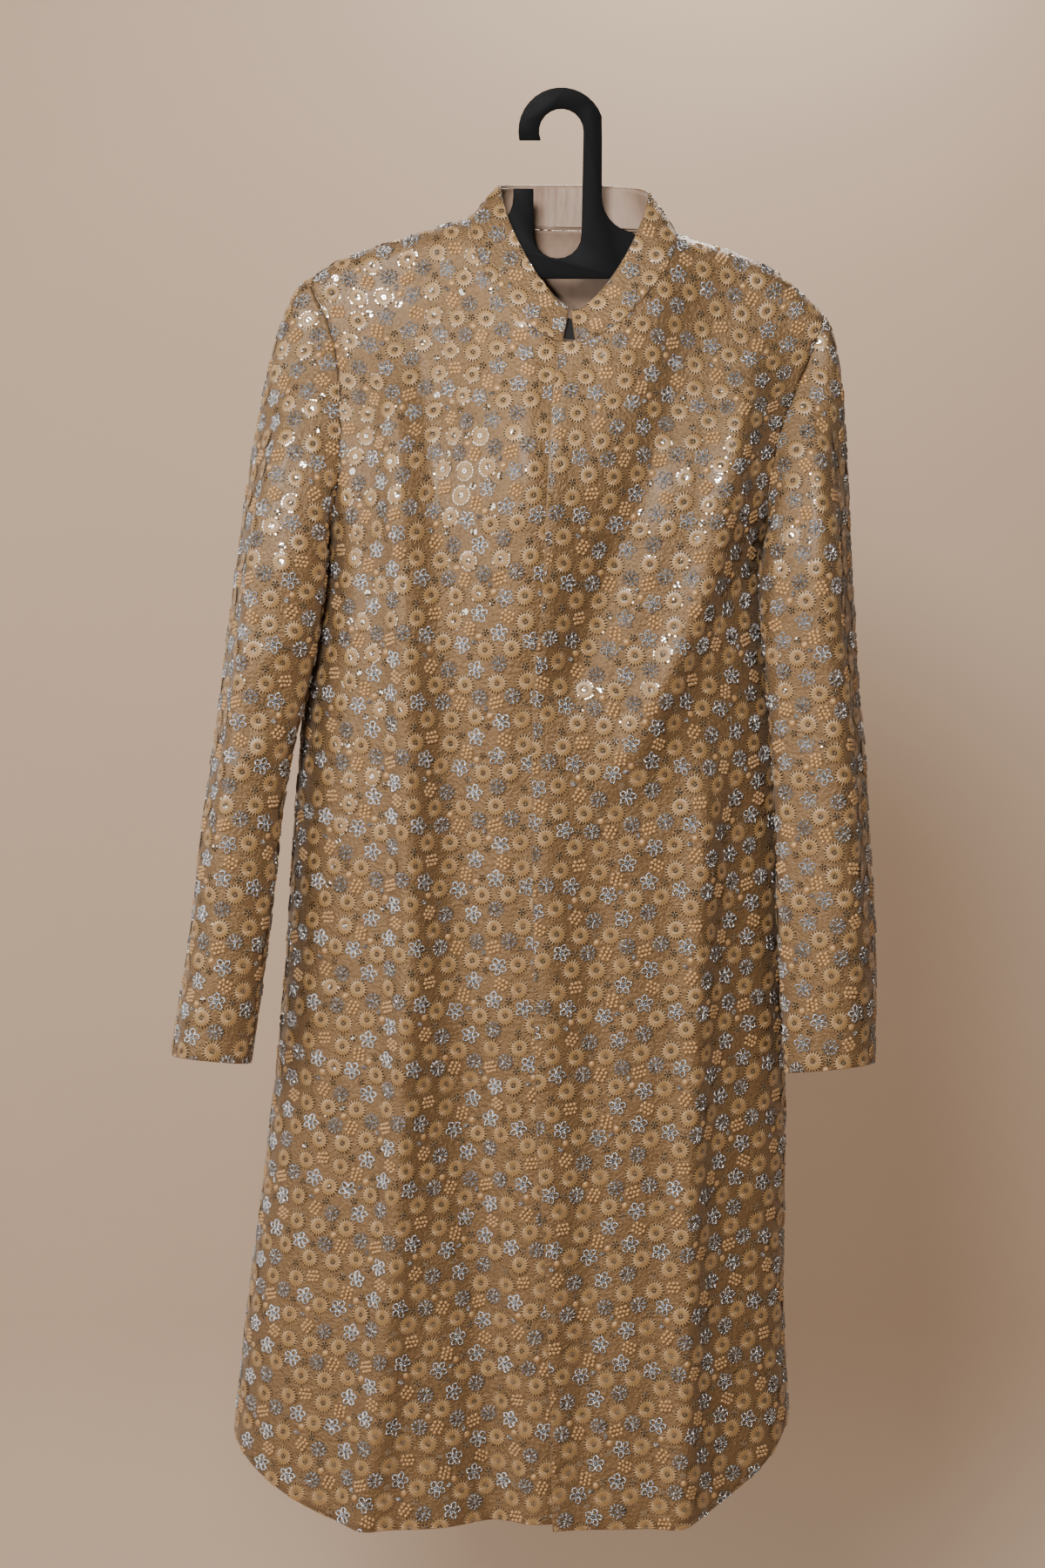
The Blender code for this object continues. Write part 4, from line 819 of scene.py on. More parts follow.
def sleeve_folds(folds, angles, z):
    total = np.zeros_like(z)
    for middle, top, bottom, half_angle, height in folds:
        away = (np.degrees(angles)[None, :] - middle + 180.0) % 360.0 - 180.0
        fade = ease((top - z) / SLEEVE_FOLD_FADES[0]) * ease((z - bottom) / SLEEVE_FOLD_FADES[1])
        total = total + height * fade * np.exp(-(away / half_angle) ** 2)
    return total


# ---------------------------------------------------------------- collar
def neck_columns(side, columns):
    """Seam angles of a front panel's columns along the neck, from the front edge to the side."""
    lap = 0.0 if side > 0 else UNDERLAP
    start = float(neck_angle(np.array(upper_edge_x(NECK_FRONT_Z) + lap)))
    collar_end = collar_ends()[0 if side < 0 else 1]
    share = 1.0 - (1.0 - np.linspace(0.0, 1.0, columns - SHOULDER_COLUMNS)) ** NECK_CROWDING
    return np.concatenate([[start], collar_end + (side * 0.5 * math.pi - collar_end) * share])


def back_neck_columns(columns):
    """Seam angles of the back's columns along the neck, from the wearer's right to the left."""
    return np.linspace(-0.5 * math.pi, -1.5 * math.pi, columns - 2 * SHOULDER_COLUMNS + 1)


def collar_ends():
    """Seam angles of the two front ends."""
    return [float(neck_angle(np.array(x))) for x in COLLAR_END_BASE_X]


def collar_columns():
    """Seam angle of each column: the same as the panels' columns, from the left end round the back."""
    left = neck_columns(-1, FRONT_COLUMNS)[1:]
    middle = back_neck_columns(BACK_COLUMNS)[1:-1]
    right = neck_columns(1, FRONT_COLUMNS)[:0:-1] - 2 * math.pi
    return list(left) + list(middle) + list(right)


def top_angle(base_angle):
    """Angle on the top edge that stands over a seam angle."""
    left_end, right_end = collar_ends()
    tops = [(x - COLLAR_TOP_CENTRE_X) / COLLAR_TOP_HALF_WIDTH for x in COLLAR_END_TOP_X]
    first, last = [math.copysign(math.asin(abs(t) ** (COLLAR_TOP_POWER / 2)), t) for t in tops]
    seam = [right_end - 2 * math.pi, -1.5 * math.pi, -0.5 * math.pi, left_end]
    over = [last - 2 * math.pi, -1.5 * math.pi, -0.5 * math.pi, first]
    return float(np.interp(base_angle, seam, over))


def collar_top(angle):
    across, along = math.sin(angle), math.cos(angle)
    power = COLLAR_TOP_POWER if along > 0 else 2.0
    share = abs(along) ** (2.0 / power)
    x = COLLAR_TOP_CENTRE_X + COLLAR_TOP_HALF_WIDTH * math.copysign(abs(across) ** (2.0 / power), across)
    side_z = COLLAR_TOP_SIDE_Z[0] if across < 0 else COLLAR_TOP_SIDE_Z[1]
    end_z = COLLAR_TOP_FRONT_Z if along > 0 else COLLAR_TOP_BACK_Z
    end_y = COLLAR_TOP_FRONT_Y if along > 0 else COLLAR_TOP_BACK_Y
    y = end_y * abs(along) ** (1.0 if along > 0 else COLLAR_TOP_BACK_ROUND)
    return np.array([x, y, side_z * (1 - share) + end_z * share])


def collar_point(base_angle, w, inset):
    """Point of the band over a seam angle, at height share w, inset towards the neck."""
    x, z = neck_seam(np.array(base_angle))
    seam = body_point(ring_angle(x, z), z, 0.0, math.cos(base_angle) < 0)
    over = top_angle(base_angle)
    top = collar_top(over)
    rise = (top - seam) / np.linalg.norm(top - seam)
    inward = np.cross(collar_tangent(over), rise)
    inward[2] = inward[2] * float(ease(w / COLLAR_LEVEL_PART))
    inward = inward / np.linalg.norm(inward)
    start = seam + rise * SEAM_GAP * COLLAR_SEAM_CLEARANCE
    return start + (top - start) * w + inward * inset


def collar_grid(angles, heights, inset):
    """Points of the band from the neck seam up."""
    return np.array([[collar_point(a, w, inset) for a in angles] for w in heights])


def collar_tangent(angle):
    change = collar_top(angle - NORMAL_STEP) - collar_top(angle + NORMAL_STEP)
    return change / np.linalg.norm(change)


def sleeve_creases(creases, angles, z):
    """Sum of a sleeve's fine creases."""
    turn = np.degrees(np.remainder(angles + 0.75 * math.pi, 2 * math.pi) - 0.75 * math.pi)
    metres = math.radians(1.0) * SLEEVE_GIRTH
    rows = [(a0 * metres, z0, a1 * metres, z1, half_width, height) for a0, z0, a1, z1, half_width, height in creases]
    return crease_height(rows, np.broadcast_to(turn[None, :] * metres, z.shape), z)


# ---------------------------------------------------------------- solids and linings
def material(name, colour, roughness, metallic=0.0):
    made = bpy.data.materials.new(name)
    made.use_nodes = True
    shader = made.node_tree.nodes["Principled BSDF"]
    shader.inputs["Base Color"].default_value = (*colour, 1.0)
    shader.inputs["Roughness"].default_value = roughness
    shader.inputs["Metallic"].default_value = metallic
    return made


def signed_volume(points, faces):
    total = 0.0
    for face in faces:
        for i in range(1, len(face) - 1):
            total += np.dot(points[face[0]], np.cross(points[face[i]], points[face[i + 1]]))
    return total


def lining_layer(outer, inner, draw, depth):
    """Grid inside a wall at a depth from its inner face, with its first and last rows drawn in."""
    first_share, last_share = draw
    direction = (inner - outer) / np.linalg.norm(inner - outer, axis=2)[..., None]
    layer = inner + direction * (depth + LINING_CLEARANCE)
    layer[0] = layer[0] * (1 - first_share) + layer[1] * first_share
    layer[-1] = layer[-2] * (1 - last_share) + layer[-1] * last_share
    layer[:, 0] = layer[:, 0] * (1 - LINING_END_DRAW) + layer[:, 1] * LINING_END_DRAW
    layer[:, -1] = layer[:, -1] * (1 - LINING_END_DRAW) + layer[:, -2] * LINING_END_DRAW
    return layer


# ---------------------------------------------------------------- hanger
def arc(centre_x, centre_z, radius, start, end, steps):
    turns = [math.radians(start + (end - start) * i / steps) for i in range(steps + 1)]
    return [(centre_x + radius * math.cos(t), centre_z + radius * math.sin(t)) for t in turns]


def arm_top(side):
    """Top edge of an arm from the neck outwards: just under the inside of the shoulder ridge."""
    tip = (ARMHOLE_LEFT_SIDE if side < 0 else ARMHOLE_RIGHT_SIDE)[0][1]
    neck = NECK_CENTRE_X + side * NECK_HALF_WIDTH
    shares = [k / SHOULDER_COLUMNS for k in range(1, SHOULDER_COLUMNS - 1)]
    across = [neck + (tip - neck) * share for share in shares]
    return [(x, float(ridge_z(np.array(x))) - WALL - HANGER_UNDER_RIDGE) for x in across]


def hanger_outline():
    """Front-view outline, from the hook's free end over the top and round."""
    hook_z = -HOOK_INNER
    outer = HOOK_INNER + HOOK_BAND
    notch_radius = (SHANK_LEFT_X - POST_RIGHT_X) / 2
    notch_x = (SHANK_LEFT_X + POST_RIGHT_X) / 2
    notch_z = NOTCH_BOTTOM_Z + notch_radius
    end_angle = math.degrees(math.asin((hook_z - HOOK_END_Z) / outer))
    end_inner = math.degrees(math.asin((hook_z - HOOK_END_Z) / HOOK_INNER))
    lead_angle, lead_drop = HOOK_LEAD
    points = arc(0.0, hook_z, outer, 180.0 + end_angle, lead_angle, 16)
    points.append((SHANK_RIGHT_X, hook_z - lead_drop))
    right_x = SHANK_RIGHT_X + NECK_ARC_RADIUS
    points += arc(right_x, NECK_ARC_TOP_Z, NECK_ARC_RADIUS, 180.0, 180.0 + NECK_ARC_END, 6)
    points.append(ARM_START_RIGHT)
    points += arm_top(1)
    points += arm_end(*points[-1], 1)
    points += UNDER_EDGE
    left_top = arm_top(-1)
    points += arm_end(*left_top[-1], -1)
    points += list(reversed(left_top))
    points.append(ARM_START_LEFT)
    left_x = POST_LEFT_X - NECK_ARC_RADIUS
    points += arc(left_x, NECK_ARC_TOP_Z, NECK_ARC_RADIUS, -NECK_ARC_END, 0.0, 6)
    points.append((POST_LEFT_X, POST_TOP_Z))
    points.append((POST_RIGHT_X, POST_TOP_Z))
    points += arc(notch_x, notch_z, notch_radius, 180.0, 360.0, 10)
    points += arc(0.0, hook_z, HOOK_INNER, 0.0, 180.0 + end_inner, 12)
    return points


def arm_end(x, top, side):
    """Rounded end of an arm, in outline order for its side."""
    radius = ARM_DEPTH * ARM_ROUND[0]
    low = (x - side * ARM_UNDER[0], top - ARM_DEPTH * ARM_UNDER[1])
    tip = arc(x - side * ARM_ROUND_BACK, top - radius * ARM_ROUND[1], radius, *ARM_ROUND_ANGLES, 4)
    if side < 0:
        tip = [(2 * x - px, pz) for px, pz in tip]
        return [low] + list(reversed(tip))
    return tip + [low]


# ---------------------------------------------------------------- embroidery chart
CHART_WIDTH = 0.100
CHART_HEIGHT = 0.104
MILLIMETRE = 0.001
# One repeat of the embroidery. Columns: motif, x and y in millimetres, turn in degrees.
CHART = (
    ("wheel", 62.9, 81.6, 241),
    ("wheel", 85.9, 29.4, 289),
    ("wheel", 33.4, 78.7, 8),
    ("wheel", 7.2, 78.9, 290),
    ("wheel", 84.5, 51.0, 168),
    ("wheel", 21.5, 28.5, 185),
    ("wheel", 22.1, 48.7, 226),
    ("wheel", 43.4, 52.8, 102),
    ("wheel", 88.2, 83.3, 352),
    ("wheel", 74.8, 7.1, 19),
    ("wheel", 13.0, 10.0, 100),
    ("wheel", 51.7, 5.5, 138),
    ("wheel", 100.0, 102.4, 205),
    ("loop", 43.3, 92.6, 147),
    ("loop", 67.3, 49.1, 47),
    ("loop", 45.0, 35.7, 16),
    ("loop", 97.6, 68.9, 0),
    ("loop", 63.6, 20.0, 17),
    ("loop", 29.9, 8.7, 53),
    ("loop", 90.7, 13.0, 359),
    ("lobe", 18.8, 91.2, 68),
    ("lobe", 47.5, 69.3, 234),
    ("lobe", 76.2, 71.3, 270),
    ("lobe", 14.5, 63.7, 84),
    ("lobe", 64.4, 98.2, 101),
    ("knot", 29.7, 62.9, 156),
    ("knot", 4.6, 34.8, 94),
    ("knot", 36.7, 22.6, 350),
    ("knot", 70.3, 33.9, 63),
    ("knot", 2.8, 94.5, 323),
    ("knot", 62.4, 65.4, 287),
    ("star", 77.1, 19.8, 303),
    ("star", 31.6, 36.6, 41),
    ("star", 37.4, 103.1, 141),
    ("star", 2.6, 63.1, 226),
    ("star", 55.7, 45.4, 177),
    ("star", 86.4, 63.8, 239),
    ("star", 20.5, 79.3, 243),
    ("star", 86.5, 96.1, 238),
    ("star", 51.4, 20.3, 21),
    ("star", 11.6, 101.4, 345),
    ("leaf", 41.0, 11.6, 200),
    ("leaf", 97.5, 52.0, 325),
    ("leaf", 53.5, 59.7, 97),
    ("dot", 45.4, 16.5, 130),
    ("dot", 1.7, 5.2, 316),
    ("dot", 56.9, 54.0, 67),
    ("dot", 21.8, 72.2, 23),
)
KINDS = ("wheel", "loop", "lobe", "knot", "star", "leaf", "dot")
PARTS = ("thread", "knots", "silver", "sequin")


# ---------------------------------------------------------------- embroidered motifs
class Motif:
    """Small mesh of one motif, in millimetres. Each face has a part: thread, knots, silver or sequin."""

    def __init__(self):
        self.points, self.faces, self.parts, self.places = [], [], [], []

    def face(self, corners, part, places):
        """Adds a face with the stitch place of each corner: count along the stitches, then across them."""
        self.faces.append(tuple(corners))
        self.parts.append(part)
        self.places += places

    def ring(self, radii, heights, sides, part, closed=False):
        """Bands of faces between circles, closed in the middle where asked."""
        first = len(self.points)
        for radius, height in zip(radii, heights):
            for k in range(sides):
                a = 2 * math.pi * k / sides
                self.points.append((radius * math.cos(a), radius * math.sin(a), height))
        for band in range(len(radii) - 1):
            near, far = radii[band], radii[band + 1]
            for k in range(sides):
                a = first + band * sides + k
                b = first + band * sides + (k + 1) % sides
                self.face((a, a + sides, b + sides, b), part, [(k, near), (k, far), (k + 1, far), (k + 1, near)])
        if closed:
            self.face([first + k for k in range(sides)], part, [(0.0, 0.0)] * sides)

    def bar(self, angle, start, end, width, height, part):
        """Flat stitch along a spoke, lower at its outer end."""
        first = len(self.points)
        across, along = math.cos(angle), math.sin(angle)
        low = height * 0.5
        for radius, side, level in ((start, -1, height), (end, -1, low), (end, 1, low), (start, 1, height)):
            shift = side * width / 2
            self.points.append((across * radius - along * shift, along * radius + across * shift, level))
        self.face(range(first, first + 4), part, [(0.0, start), (0.0, end), (1.0, end), (1.0, start)])

    def dome(self, x, y, length, width, angle, height, sides, part):
        """Oval dome with one ring below its top."""
        first = len(self.points)
        for share, level in ((1.0, 0.0), (0.72, 0.68)):
            for k in range(sides):
                a = 2 * math.pi * k / sides
                px, py = length / 2 * share * math.cos(a), width / 2 * share * math.sin(a)
                self.points.append((x + px * math.cos(angle) - py * math.sin(angle),
                                    y + px * math.sin(angle) + py * math.cos(angle), level * height))
        self.points.append((x, y, height))
        top = len(self.points) - 1
        for k in range(sides):
            n = (k + 1) % sides
            ends = [(k, 1.0), (k + 1, 1.0), (k + 1, 0.7), (k, 0.7)]
            self.face((first + k, first + n, first + sides + n, first + sides + k), part, ends)
            self.face((first + sides + k, first + sides + n, top), part, [(k, 0.7), (k + 1, 0.7), (k + 0.5, 0.0)])

    def cord(self, path, width, height, part):
        """Raised thread along a closed path: two slopes that meet on its crest."""
        first = len(self.points)
        count = len(path)
        for k, (x, y) in enumerate(path):
            ax, ay = path[(k + 1) % count][0] - path[k - 1][0], path[(k + 1) % count][1] - path[k - 1][1]
            length = math.hypot(ax, ay) or 1.0
            nx, ny = -ay / length, ax / length
            for side, level in ((-0.5, 0.0), (0.0, height), (0.5, 0.0)):
                self.points.append((x + nx * side * width, y + ny * side * width, level))
        for k in range(count):
            a, b = first + 3 * k, first + 3 * ((k + 1) % count)
            self.face((a, b, b + 1, a + 1), part, [(k, 0.0), (k + 1, 0.0), (k + 1, 0.5), (k, 0.5)])
            self.face((a + 1, b + 1, b + 2, a + 2), part, [(k, 0.5), (k + 1, 0.5), (k + 1, 1.0), (k, 1.0)])

    def build(self, name):
        mesh = bpy.data.meshes.new(name)
        points = np.array(self.points) * MILLIMETRE
        mesh.from_pydata([tuple(map(float, p)) for p in points], [], self.faces)
        part = mesh.attributes.new("part", "INT", "FACE")
        part.data.foreach_set("value", [PARTS.index(p) for p in self.parts])
        layer = mesh.uv_layers.new(name="stitch")
        layer.data.foreach_set("uv", np.array(self.places, dtype=np.float32).ravel())
        mesh.shade_smooth()
        made = bpy.data.objects.new(name, mesh)
        bpy.context.scene.collection.objects.link(made)
        return made


def wheel_motif():
    """Wheel of satin stitch over a sequin that shows between the ends of its spokes and in its middle."""
    motif = Motif()
    motif.ring((6.4, 8.6), (0.26, 0.22), WHEEL_SPOKES // 2, "sequin")
    motif.ring((2.1, 4.4, 7.1), (0.55, 1.25, 0.55), WHEEL_SPOKES, "thread")
    for k in range(WHEEL_SPOKES):
        reach = 8.9 + 0.35 * math.sin(2.7 * k)
        motif.bar(2 * math.pi * (k + 0.5) / WHEEL_SPOKES, 6.8, reach, 1.22, 0.75, "thread")
    motif.ring((2.3,), (0.55,), 8, "sequin", closed=True)
    for k in range(4):
        motif.bar(2 * math.pi * k / 4 + 0.2, 0.2, 2.5, 0.60, 0.85, "thread")
    return motif.build("wheel")


def loop_motif():
    """Five open petals of metallic cord round a small bead."""
    motif = Motif()
    for k in range(5):
        a = 2 * math.pi * k / 5
        path = [(1.6, 0.0), (3.3, 1.85), (5.9, 2.15), (7.7, 0.0), (5.9, -2.15), (3.3, -1.85)]
        turned = [(x * math.cos(a) - y * math.sin(a), x * math.sin(a) + y * math.cos(a)) for x, y in path]
        motif.cord(turned, 1.65, 1.45, "silver")
    motif.dome(0.0, 0.0, 3.0, 3.0, 0.0, 1.6, 6, "silver")
    return motif.build("loop")


def lobe_motif():
    """Six forked petals of metallic cord round a bead."""
    motif = Motif()
    for k in range(6):
        a = 2 * math.pi * k / 6
        for side in (-1, 1):
            spread = a + side * 0.235
            motif.dome(5.6 * math.cos(spread), 5.6 * math.sin(spread), 5.2, 2.3, spread + side * 0.30, 1.6, 5, "silver")
        motif.bar(a, 1.0, 4.4, 1.3, 1.1, "silver")
    motif.dome(0.0, 0.0, 3.6, 3.6, 0.0, 1.7, 6, "silver")
    return motif.build("lobe")


def knot_motif():
    """Ten round knots in three close columns."""
    motif = Motif()
    columns = ((-3.45, (-3.4, 0.0, 3.4)), (0.0, (-5.1, -1.7, 1.7, 5.1)), (3.45, (-3.4, 0.0, 3.4)))
    for x, heights in columns:
        for y in heights:
            turn = 0.7 * x + 0.5 * y
            shift = 0.25 * math.sin(3.0 * turn)
            motif.dome(x + shift, y - shift, 4.3, 3.7, turn, 1.5, 5, "knots")
    return motif.build("knot")


def star_motif():
    """Small sequin held by a star of stitches."""
    motif = Motif()
    motif.ring((3.0,), (0.35,), 9, "sequin", closed=True)
    for k in range(5):
        motif.bar(2 * math.pi * k / 5, 0.8, 3.7, 0.80, 0.65, "thread")
    return motif.build("star")


def leaf_motif():
    motif = Motif()
    motif.dome(0.0, 0.0, 6.2, 3.8, 0.0, 1.3, 8, "silver")
    return motif.build("leaf")


def dot_motif():
    motif = Motif()
    motif.dome(0.0, 0.0, 6.2, 5.8, 0.0, 1.2, 8, "knots")
    return motif.build("dot")


MOTIF_MAKERS = {
    "wheel": wheel_motif, "loop": loop_motif, "lobe": lobe_motif, "knot": knot_motif,
    "star": star_motif, "leaf": leaf_motif, "dot": dot_motif,
}


# ---------------------------------------------------------------- node trees
def add_node(tree, kind, **settings):
    node = tree.nodes.new(kind)
    for key, value in settings.items():
        setattr(node, key, value)
    return node


def embroidery_tree():
    """Stitches a motif at each point of the chart, by the point's kind and turn."""
    tree = bpy.data.node_groups.new("Embroidery", "GeometryNodeTree")
    face = tree.interface
    face.new_socket("Geometry", in_out="INPUT", socket_type="NodeSocketGeometry")
    face.new_socket("Motif Scale", in_out="INPUT", socket_type="NodeSocketFloat")
    face.new_socket("Tilt", in_out="INPUT", socket_type="NodeSocketFloat")
    face.new_socket("Seed", in_out="INPUT", socket_type="NodeSocketInt")
    for kind in KINDS:
        face.new_socket(kind, in_out="INPUT", socket_type="NodeSocketObject")
    for part in PARTS:
        face.new_socket(part, in_out="INPUT", socket_type="NodeSocketMaterial")
    face.new_socket("Geometry", in_out="OUTPUT", socket_type="NodeSocketGeometry")
    join_to = tree.links.new
    start = add_node(tree, "NodeGroupInput")
    end = add_node(tree, "NodeGroupOutput")
    kind_of = add_node(tree, "GeometryNodeInputNamedAttribute", data_type="INT")
    kind_of.inputs["Name"].default_value = "kind"
    turn_of = add_node(tree, "GeometryNodeInputNamedAttribute", data_type="FLOAT")
    turn_of.inputs["Name"].default_value = "turn"
    chance = add_node(tree, "FunctionNodeRandomValue", data_type="FLOAT_VECTOR")
    chance.inputs["Min"].default_value = (-1.0, -1.0, 0.0)
    chance.inputs["Max"].default_value = (1.0, 1.0, 0.0)
    join_to(start.outputs["Seed"], chance.inputs["Seed"])
    lean = add_node(tree, "ShaderNodeVectorMath", operation="SCALE")
    join_to(chance.outputs["Value"], lean.inputs["Vector"])
    join_to(start.outputs["Tilt"], lean.inputs["Scale"])
    parts = add_node(tree, "ShaderNodeSeparateXYZ")
    join_to(lean.outputs["Vector"], parts.inputs["Vector"])
    euler = add_node(tree, "ShaderNodeCombineXYZ")
    join_to(parts.outputs["X"], euler.inputs["X"])
    join_to(parts.outputs["Y"], euler.inputs["Y"])
    join_to(turn_of.outputs["Attribute"], euler.inputs["Z"])
    rotation = add_node(tree, "FunctionNodeEulerToRotation")
    join_to(euler.outputs["Vector"], rotation.inputs["Euler"])
    together = add_node(tree, "GeometryNodeJoinGeometry")
    for index, kind in enumerate(KINDS):
        same = add_node(tree, "FunctionNodeCompare", data_type="INT", operation="EQUAL")
        join_to(kind_of.outputs["Attribute"], same.inputs[2])
        same.inputs[3].default_value = index
        shape = add_node(tree, "GeometryNodeObjectInfo")
        join_to(start.outputs[kind], shape.inputs["Object"])
        place = add_node(tree, "GeometryNodeInstanceOnPoints")
        join_to(start.outputs["Geometry"], place.inputs["Points"])
        join_to(same.outputs["Result"], place.inputs["Selection"])
        join_to(shape.outputs["Geometry"], place.inputs["Instance"])
        join_to(rotation.outputs["Rotation"], place.inputs["Rotation"])
        join_to(start.outputs["Motif Scale"], place.inputs["Scale"])
        join_to(place.outputs["Instances"], together.inputs["Geometry"])
    flow = add_node(tree, "GeometryNodeRealizeInstances")
    join_to(together.outputs["Geometry"], flow.inputs["Geometry"])
    part_of = add_node(tree, "GeometryNodeInputNamedAttribute", data_type="INT")
    part_of.inputs["Name"].default_value = "part"
    for index, part in enumerate(PARTS):
        same = add_node(tree, "FunctionNodeCompare", data_type="INT", operation="EQUAL")
        join_to(part_of.outputs["Attribute"], same.inputs[2])
        same.inputs[3].default_value = index
        paint = add_node(tree, "GeometryNodeSetMaterial")
        join_to(flow.outputs["Geometry"], paint.inputs["Geometry"])
        join_to(same.outputs["Result"], paint.inputs["Selection"])
        join_to(start.outputs[part], paint.inputs["Material"])
        flow = paint
    join_to(flow.outputs["Geometry"], end.inputs["Geometry"])
    return tree


def input_name(tree, name):
    """Identifier of a tree's input socket."""
    for item in tree.interface.items_tree:
        if item.item_type == "SOCKET" and item.in_out == "INPUT" and item.name == name:
            return item.identifier
    raise KeyError(name)


def flat_embroidery(name, tree, low, high, values, phase):
    """Plain mesh of all the motifs whose repeats touch a flat rectangle of cloth."""
    places, kinds, turns = [], [], []
    first = np.floor((low - phase) / (CHART_WIDTH, CHART_HEIGHT)).astype(int) - 1
    last = np.ceil((high - phase) / (CHART_WIDTH, CHART_HEIGHT)).astype(int) + 1
    for i in range(first[0], last[0] + 1):
        for j in range(first[1], last[1] + 1):
            drop = CHART_HEIGHT / 2 if i % 2 else 0.0
            for kind, x, y, turn in CHART:
                s = phase[0] + i * CHART_WIDTH + x * MILLIMETRE
                t = phase[1] + j * CHART_HEIGHT + y * MILLIMETRE + drop
                if low[0] - MOTIF_REACH < s < high[0] + MOTIF_REACH and low[1] - MOTIF_REACH < t < high[1] + MOTIF_REACH:
                    places.append((s, t, 0.0))
                    kinds.append(KINDS.index(kind))
                    turns.append(math.radians(turn))
    mesh = bpy.data.meshes.new(name + "_places")
    mesh.from_pydata(places, [], [])
    mesh.attributes.new("kind", "INT", "POINT").data.foreach_set("value", kinds)
    mesh.attributes.new("turn", "FLOAT", "POINT").data.foreach_set("value", turns)
    carrier = bpy.data.objects.new(name + "_places", mesh)
    bpy.context.scene.collection.objects.link(carrier)
    modifier = carrier.modifiers.new("Embroidery", "NODES")
    modifier.node_group = tree
    for key, value in values.items():
        modifier[input_name(tree, key)] = value
    bpy.context.view_layer.update()
    evaluated = carrier.evaluated_get(bpy.context.evaluated_depsgraph_get())
    flat = bpy.data.meshes.new_from_object(evaluated)
    carrier.modifiers.remove(modifier)
    bpy.data.objects.remove(carrier, do_unlink=True)
    bpy.data.meshes.remove(mesh)
    return flat


def read_mesh(mesh):
    """Points, corner vertices, face starts, face sizes, materials and stitch places of a mesh."""
    points = np.empty(len(mesh.vertices) * 3, dtype=np.float32)
    mesh.vertices.foreach_get("co", points)
    corners = np.empty(len(mesh.loops), dtype=np.int32)
    mesh.loops.foreach_get("vertex_index", corners)
    starts = np.empty(len(mesh.polygons), dtype=np.int32)
    mesh.polygons.foreach_get("loop_start", starts)
    sizes = np.empty(len(mesh.polygons), dtype=np.int32)
    mesh.polygons.foreach_get("loop_total", sizes)
    looks = np.empty(len(mesh.polygons), dtype=np.int32)
    mesh.polygons.foreach_get("material_index", looks)
    stitch = np.zeros(len(mesh.loops) * 2, dtype=np.float32)
    mesh.attributes["stitch"].data.foreach_get("vector", stitch)
    return points.reshape(-1, 3).astype(float), corners, starts, sizes, looks, stitch.reshape(-1, 2)


def wrap_embroidery(name, flat, surface, normals, lengths, keep, relief):
    """Lays flat embroidery on a cloth surface and cuts it off at the cloth's edges."""
    points, corners, starts, sizes, looks, stitch = read_mesh(flat)
    row, column, miss = locate(lengths, points[:, :2])
    inside = (miss < FIT_MISS) & (row > 0) & (row < lengths.shape[0] - 1)
    inside &= (column > 0) & (column < lengths.shape[1] - 1)
    row = np.clip(row, 0.0, lengths.shape[0] - 1.0)
    column = np.clip(column, 0.0, lengths.shape[1] - 1.0)
    if keep is not None:
        inside &= sample(keep[..., None], row, column)[:, 0] > 0.5
    height = np.maximum(points[:, 2] * relief, 0.0) + EMBROIDERY_LIFT
    normal = sample(normals, row, column)
    normal = normal / np.maximum(np.linalg.norm(normal, axis=1)[:, None], 1e-9)
    laid = sample(surface, row, column) + normal * height[:, None]
    inside_corners = np.add.reduceat(inside[corners].astype(int), starts)
    kept = np.nonzero(2 * inside_corners >= sizes)[0]
    use = np.concatenate([np.arange(starts[f], starts[f] + sizes[f]) for f in kept]) if len(kept) else np.empty(0, int)
    used, fresh = np.unique(corners[use], return_inverse=True)
    mesh = bpy.data.meshes.new(name)
    mesh.vertices.add(len(used))
    mesh.vertices.foreach_set("co", laid[used].astype(np.float32).ravel())
    mesh.loops.add(len(use))
    mesh.loops.foreach_set("vertex_index", fresh.astype(np.int32).ravel())
    mesh.polygons.add(len(kept))
    new_starts = np.concatenate([[0], np.cumsum(sizes[kept])[:-1]]).astype(np.int32)
    mesh.polygons.foreach_set("loop_start", new_starts)
    for look in flat.materials:
        mesh.materials.append(look)
    mesh.polygons.foreach_set("material_index", looks[kept])
    mesh.update(calc_edges=True)
    mesh.validate()
    layer = mesh.uv_layers.new(name="stitch")
    layer.data.foreach_set("uv", stitch[use].ravel())
    mesh.shade_smooth()
    made = bpy.data.objects.new(name, mesh)
    bpy.context.scene.collection.objects.link(made)
    return made


# ---------------------------------------------------------------- settings that a user would change
def colour_setting(name, description, default):
    return FloatVectorProperty(name=name, description=description, subtype="COLOR", size=3,
                               min=0.0, max=1.0, default=default)


class EmbroiderySettings(bpy.types.PropertyGroup):
    motif_scale: FloatProperty(name="Motif scale", description="Size of each motif against its usual size",
                               default=1.0, min=0.5, max=1.3)
    relief: FloatProperty(name="Relief", description="Height of the stitches against their usual height",
                          default=1.0, min=0.2, max=2.0)
    tilt: FloatProperty(name="Tilt", description="Most that a motif leans out of the cloth",
                        default=0.085, subtype="ANGLE", unit="ROTATION")
    seed: IntProperty(name="Seed", description="Seed of the motifs' lean", default=7)
    thread: colour_setting("Thread", "Silk thread of the wheels", (0.560, 0.330, 0.128))
    knots: colour_setting("Knots", "Thread of the knots", (0.570, 0.322, 0.122))
    silver: colour_setting("Silver", "Metallic cord of the flowers", (0.750, 0.755, 0.775))
    sequin: colour_setting("Sequin", "Sequins under the wheels", (0.360, 0.350, 0.330))


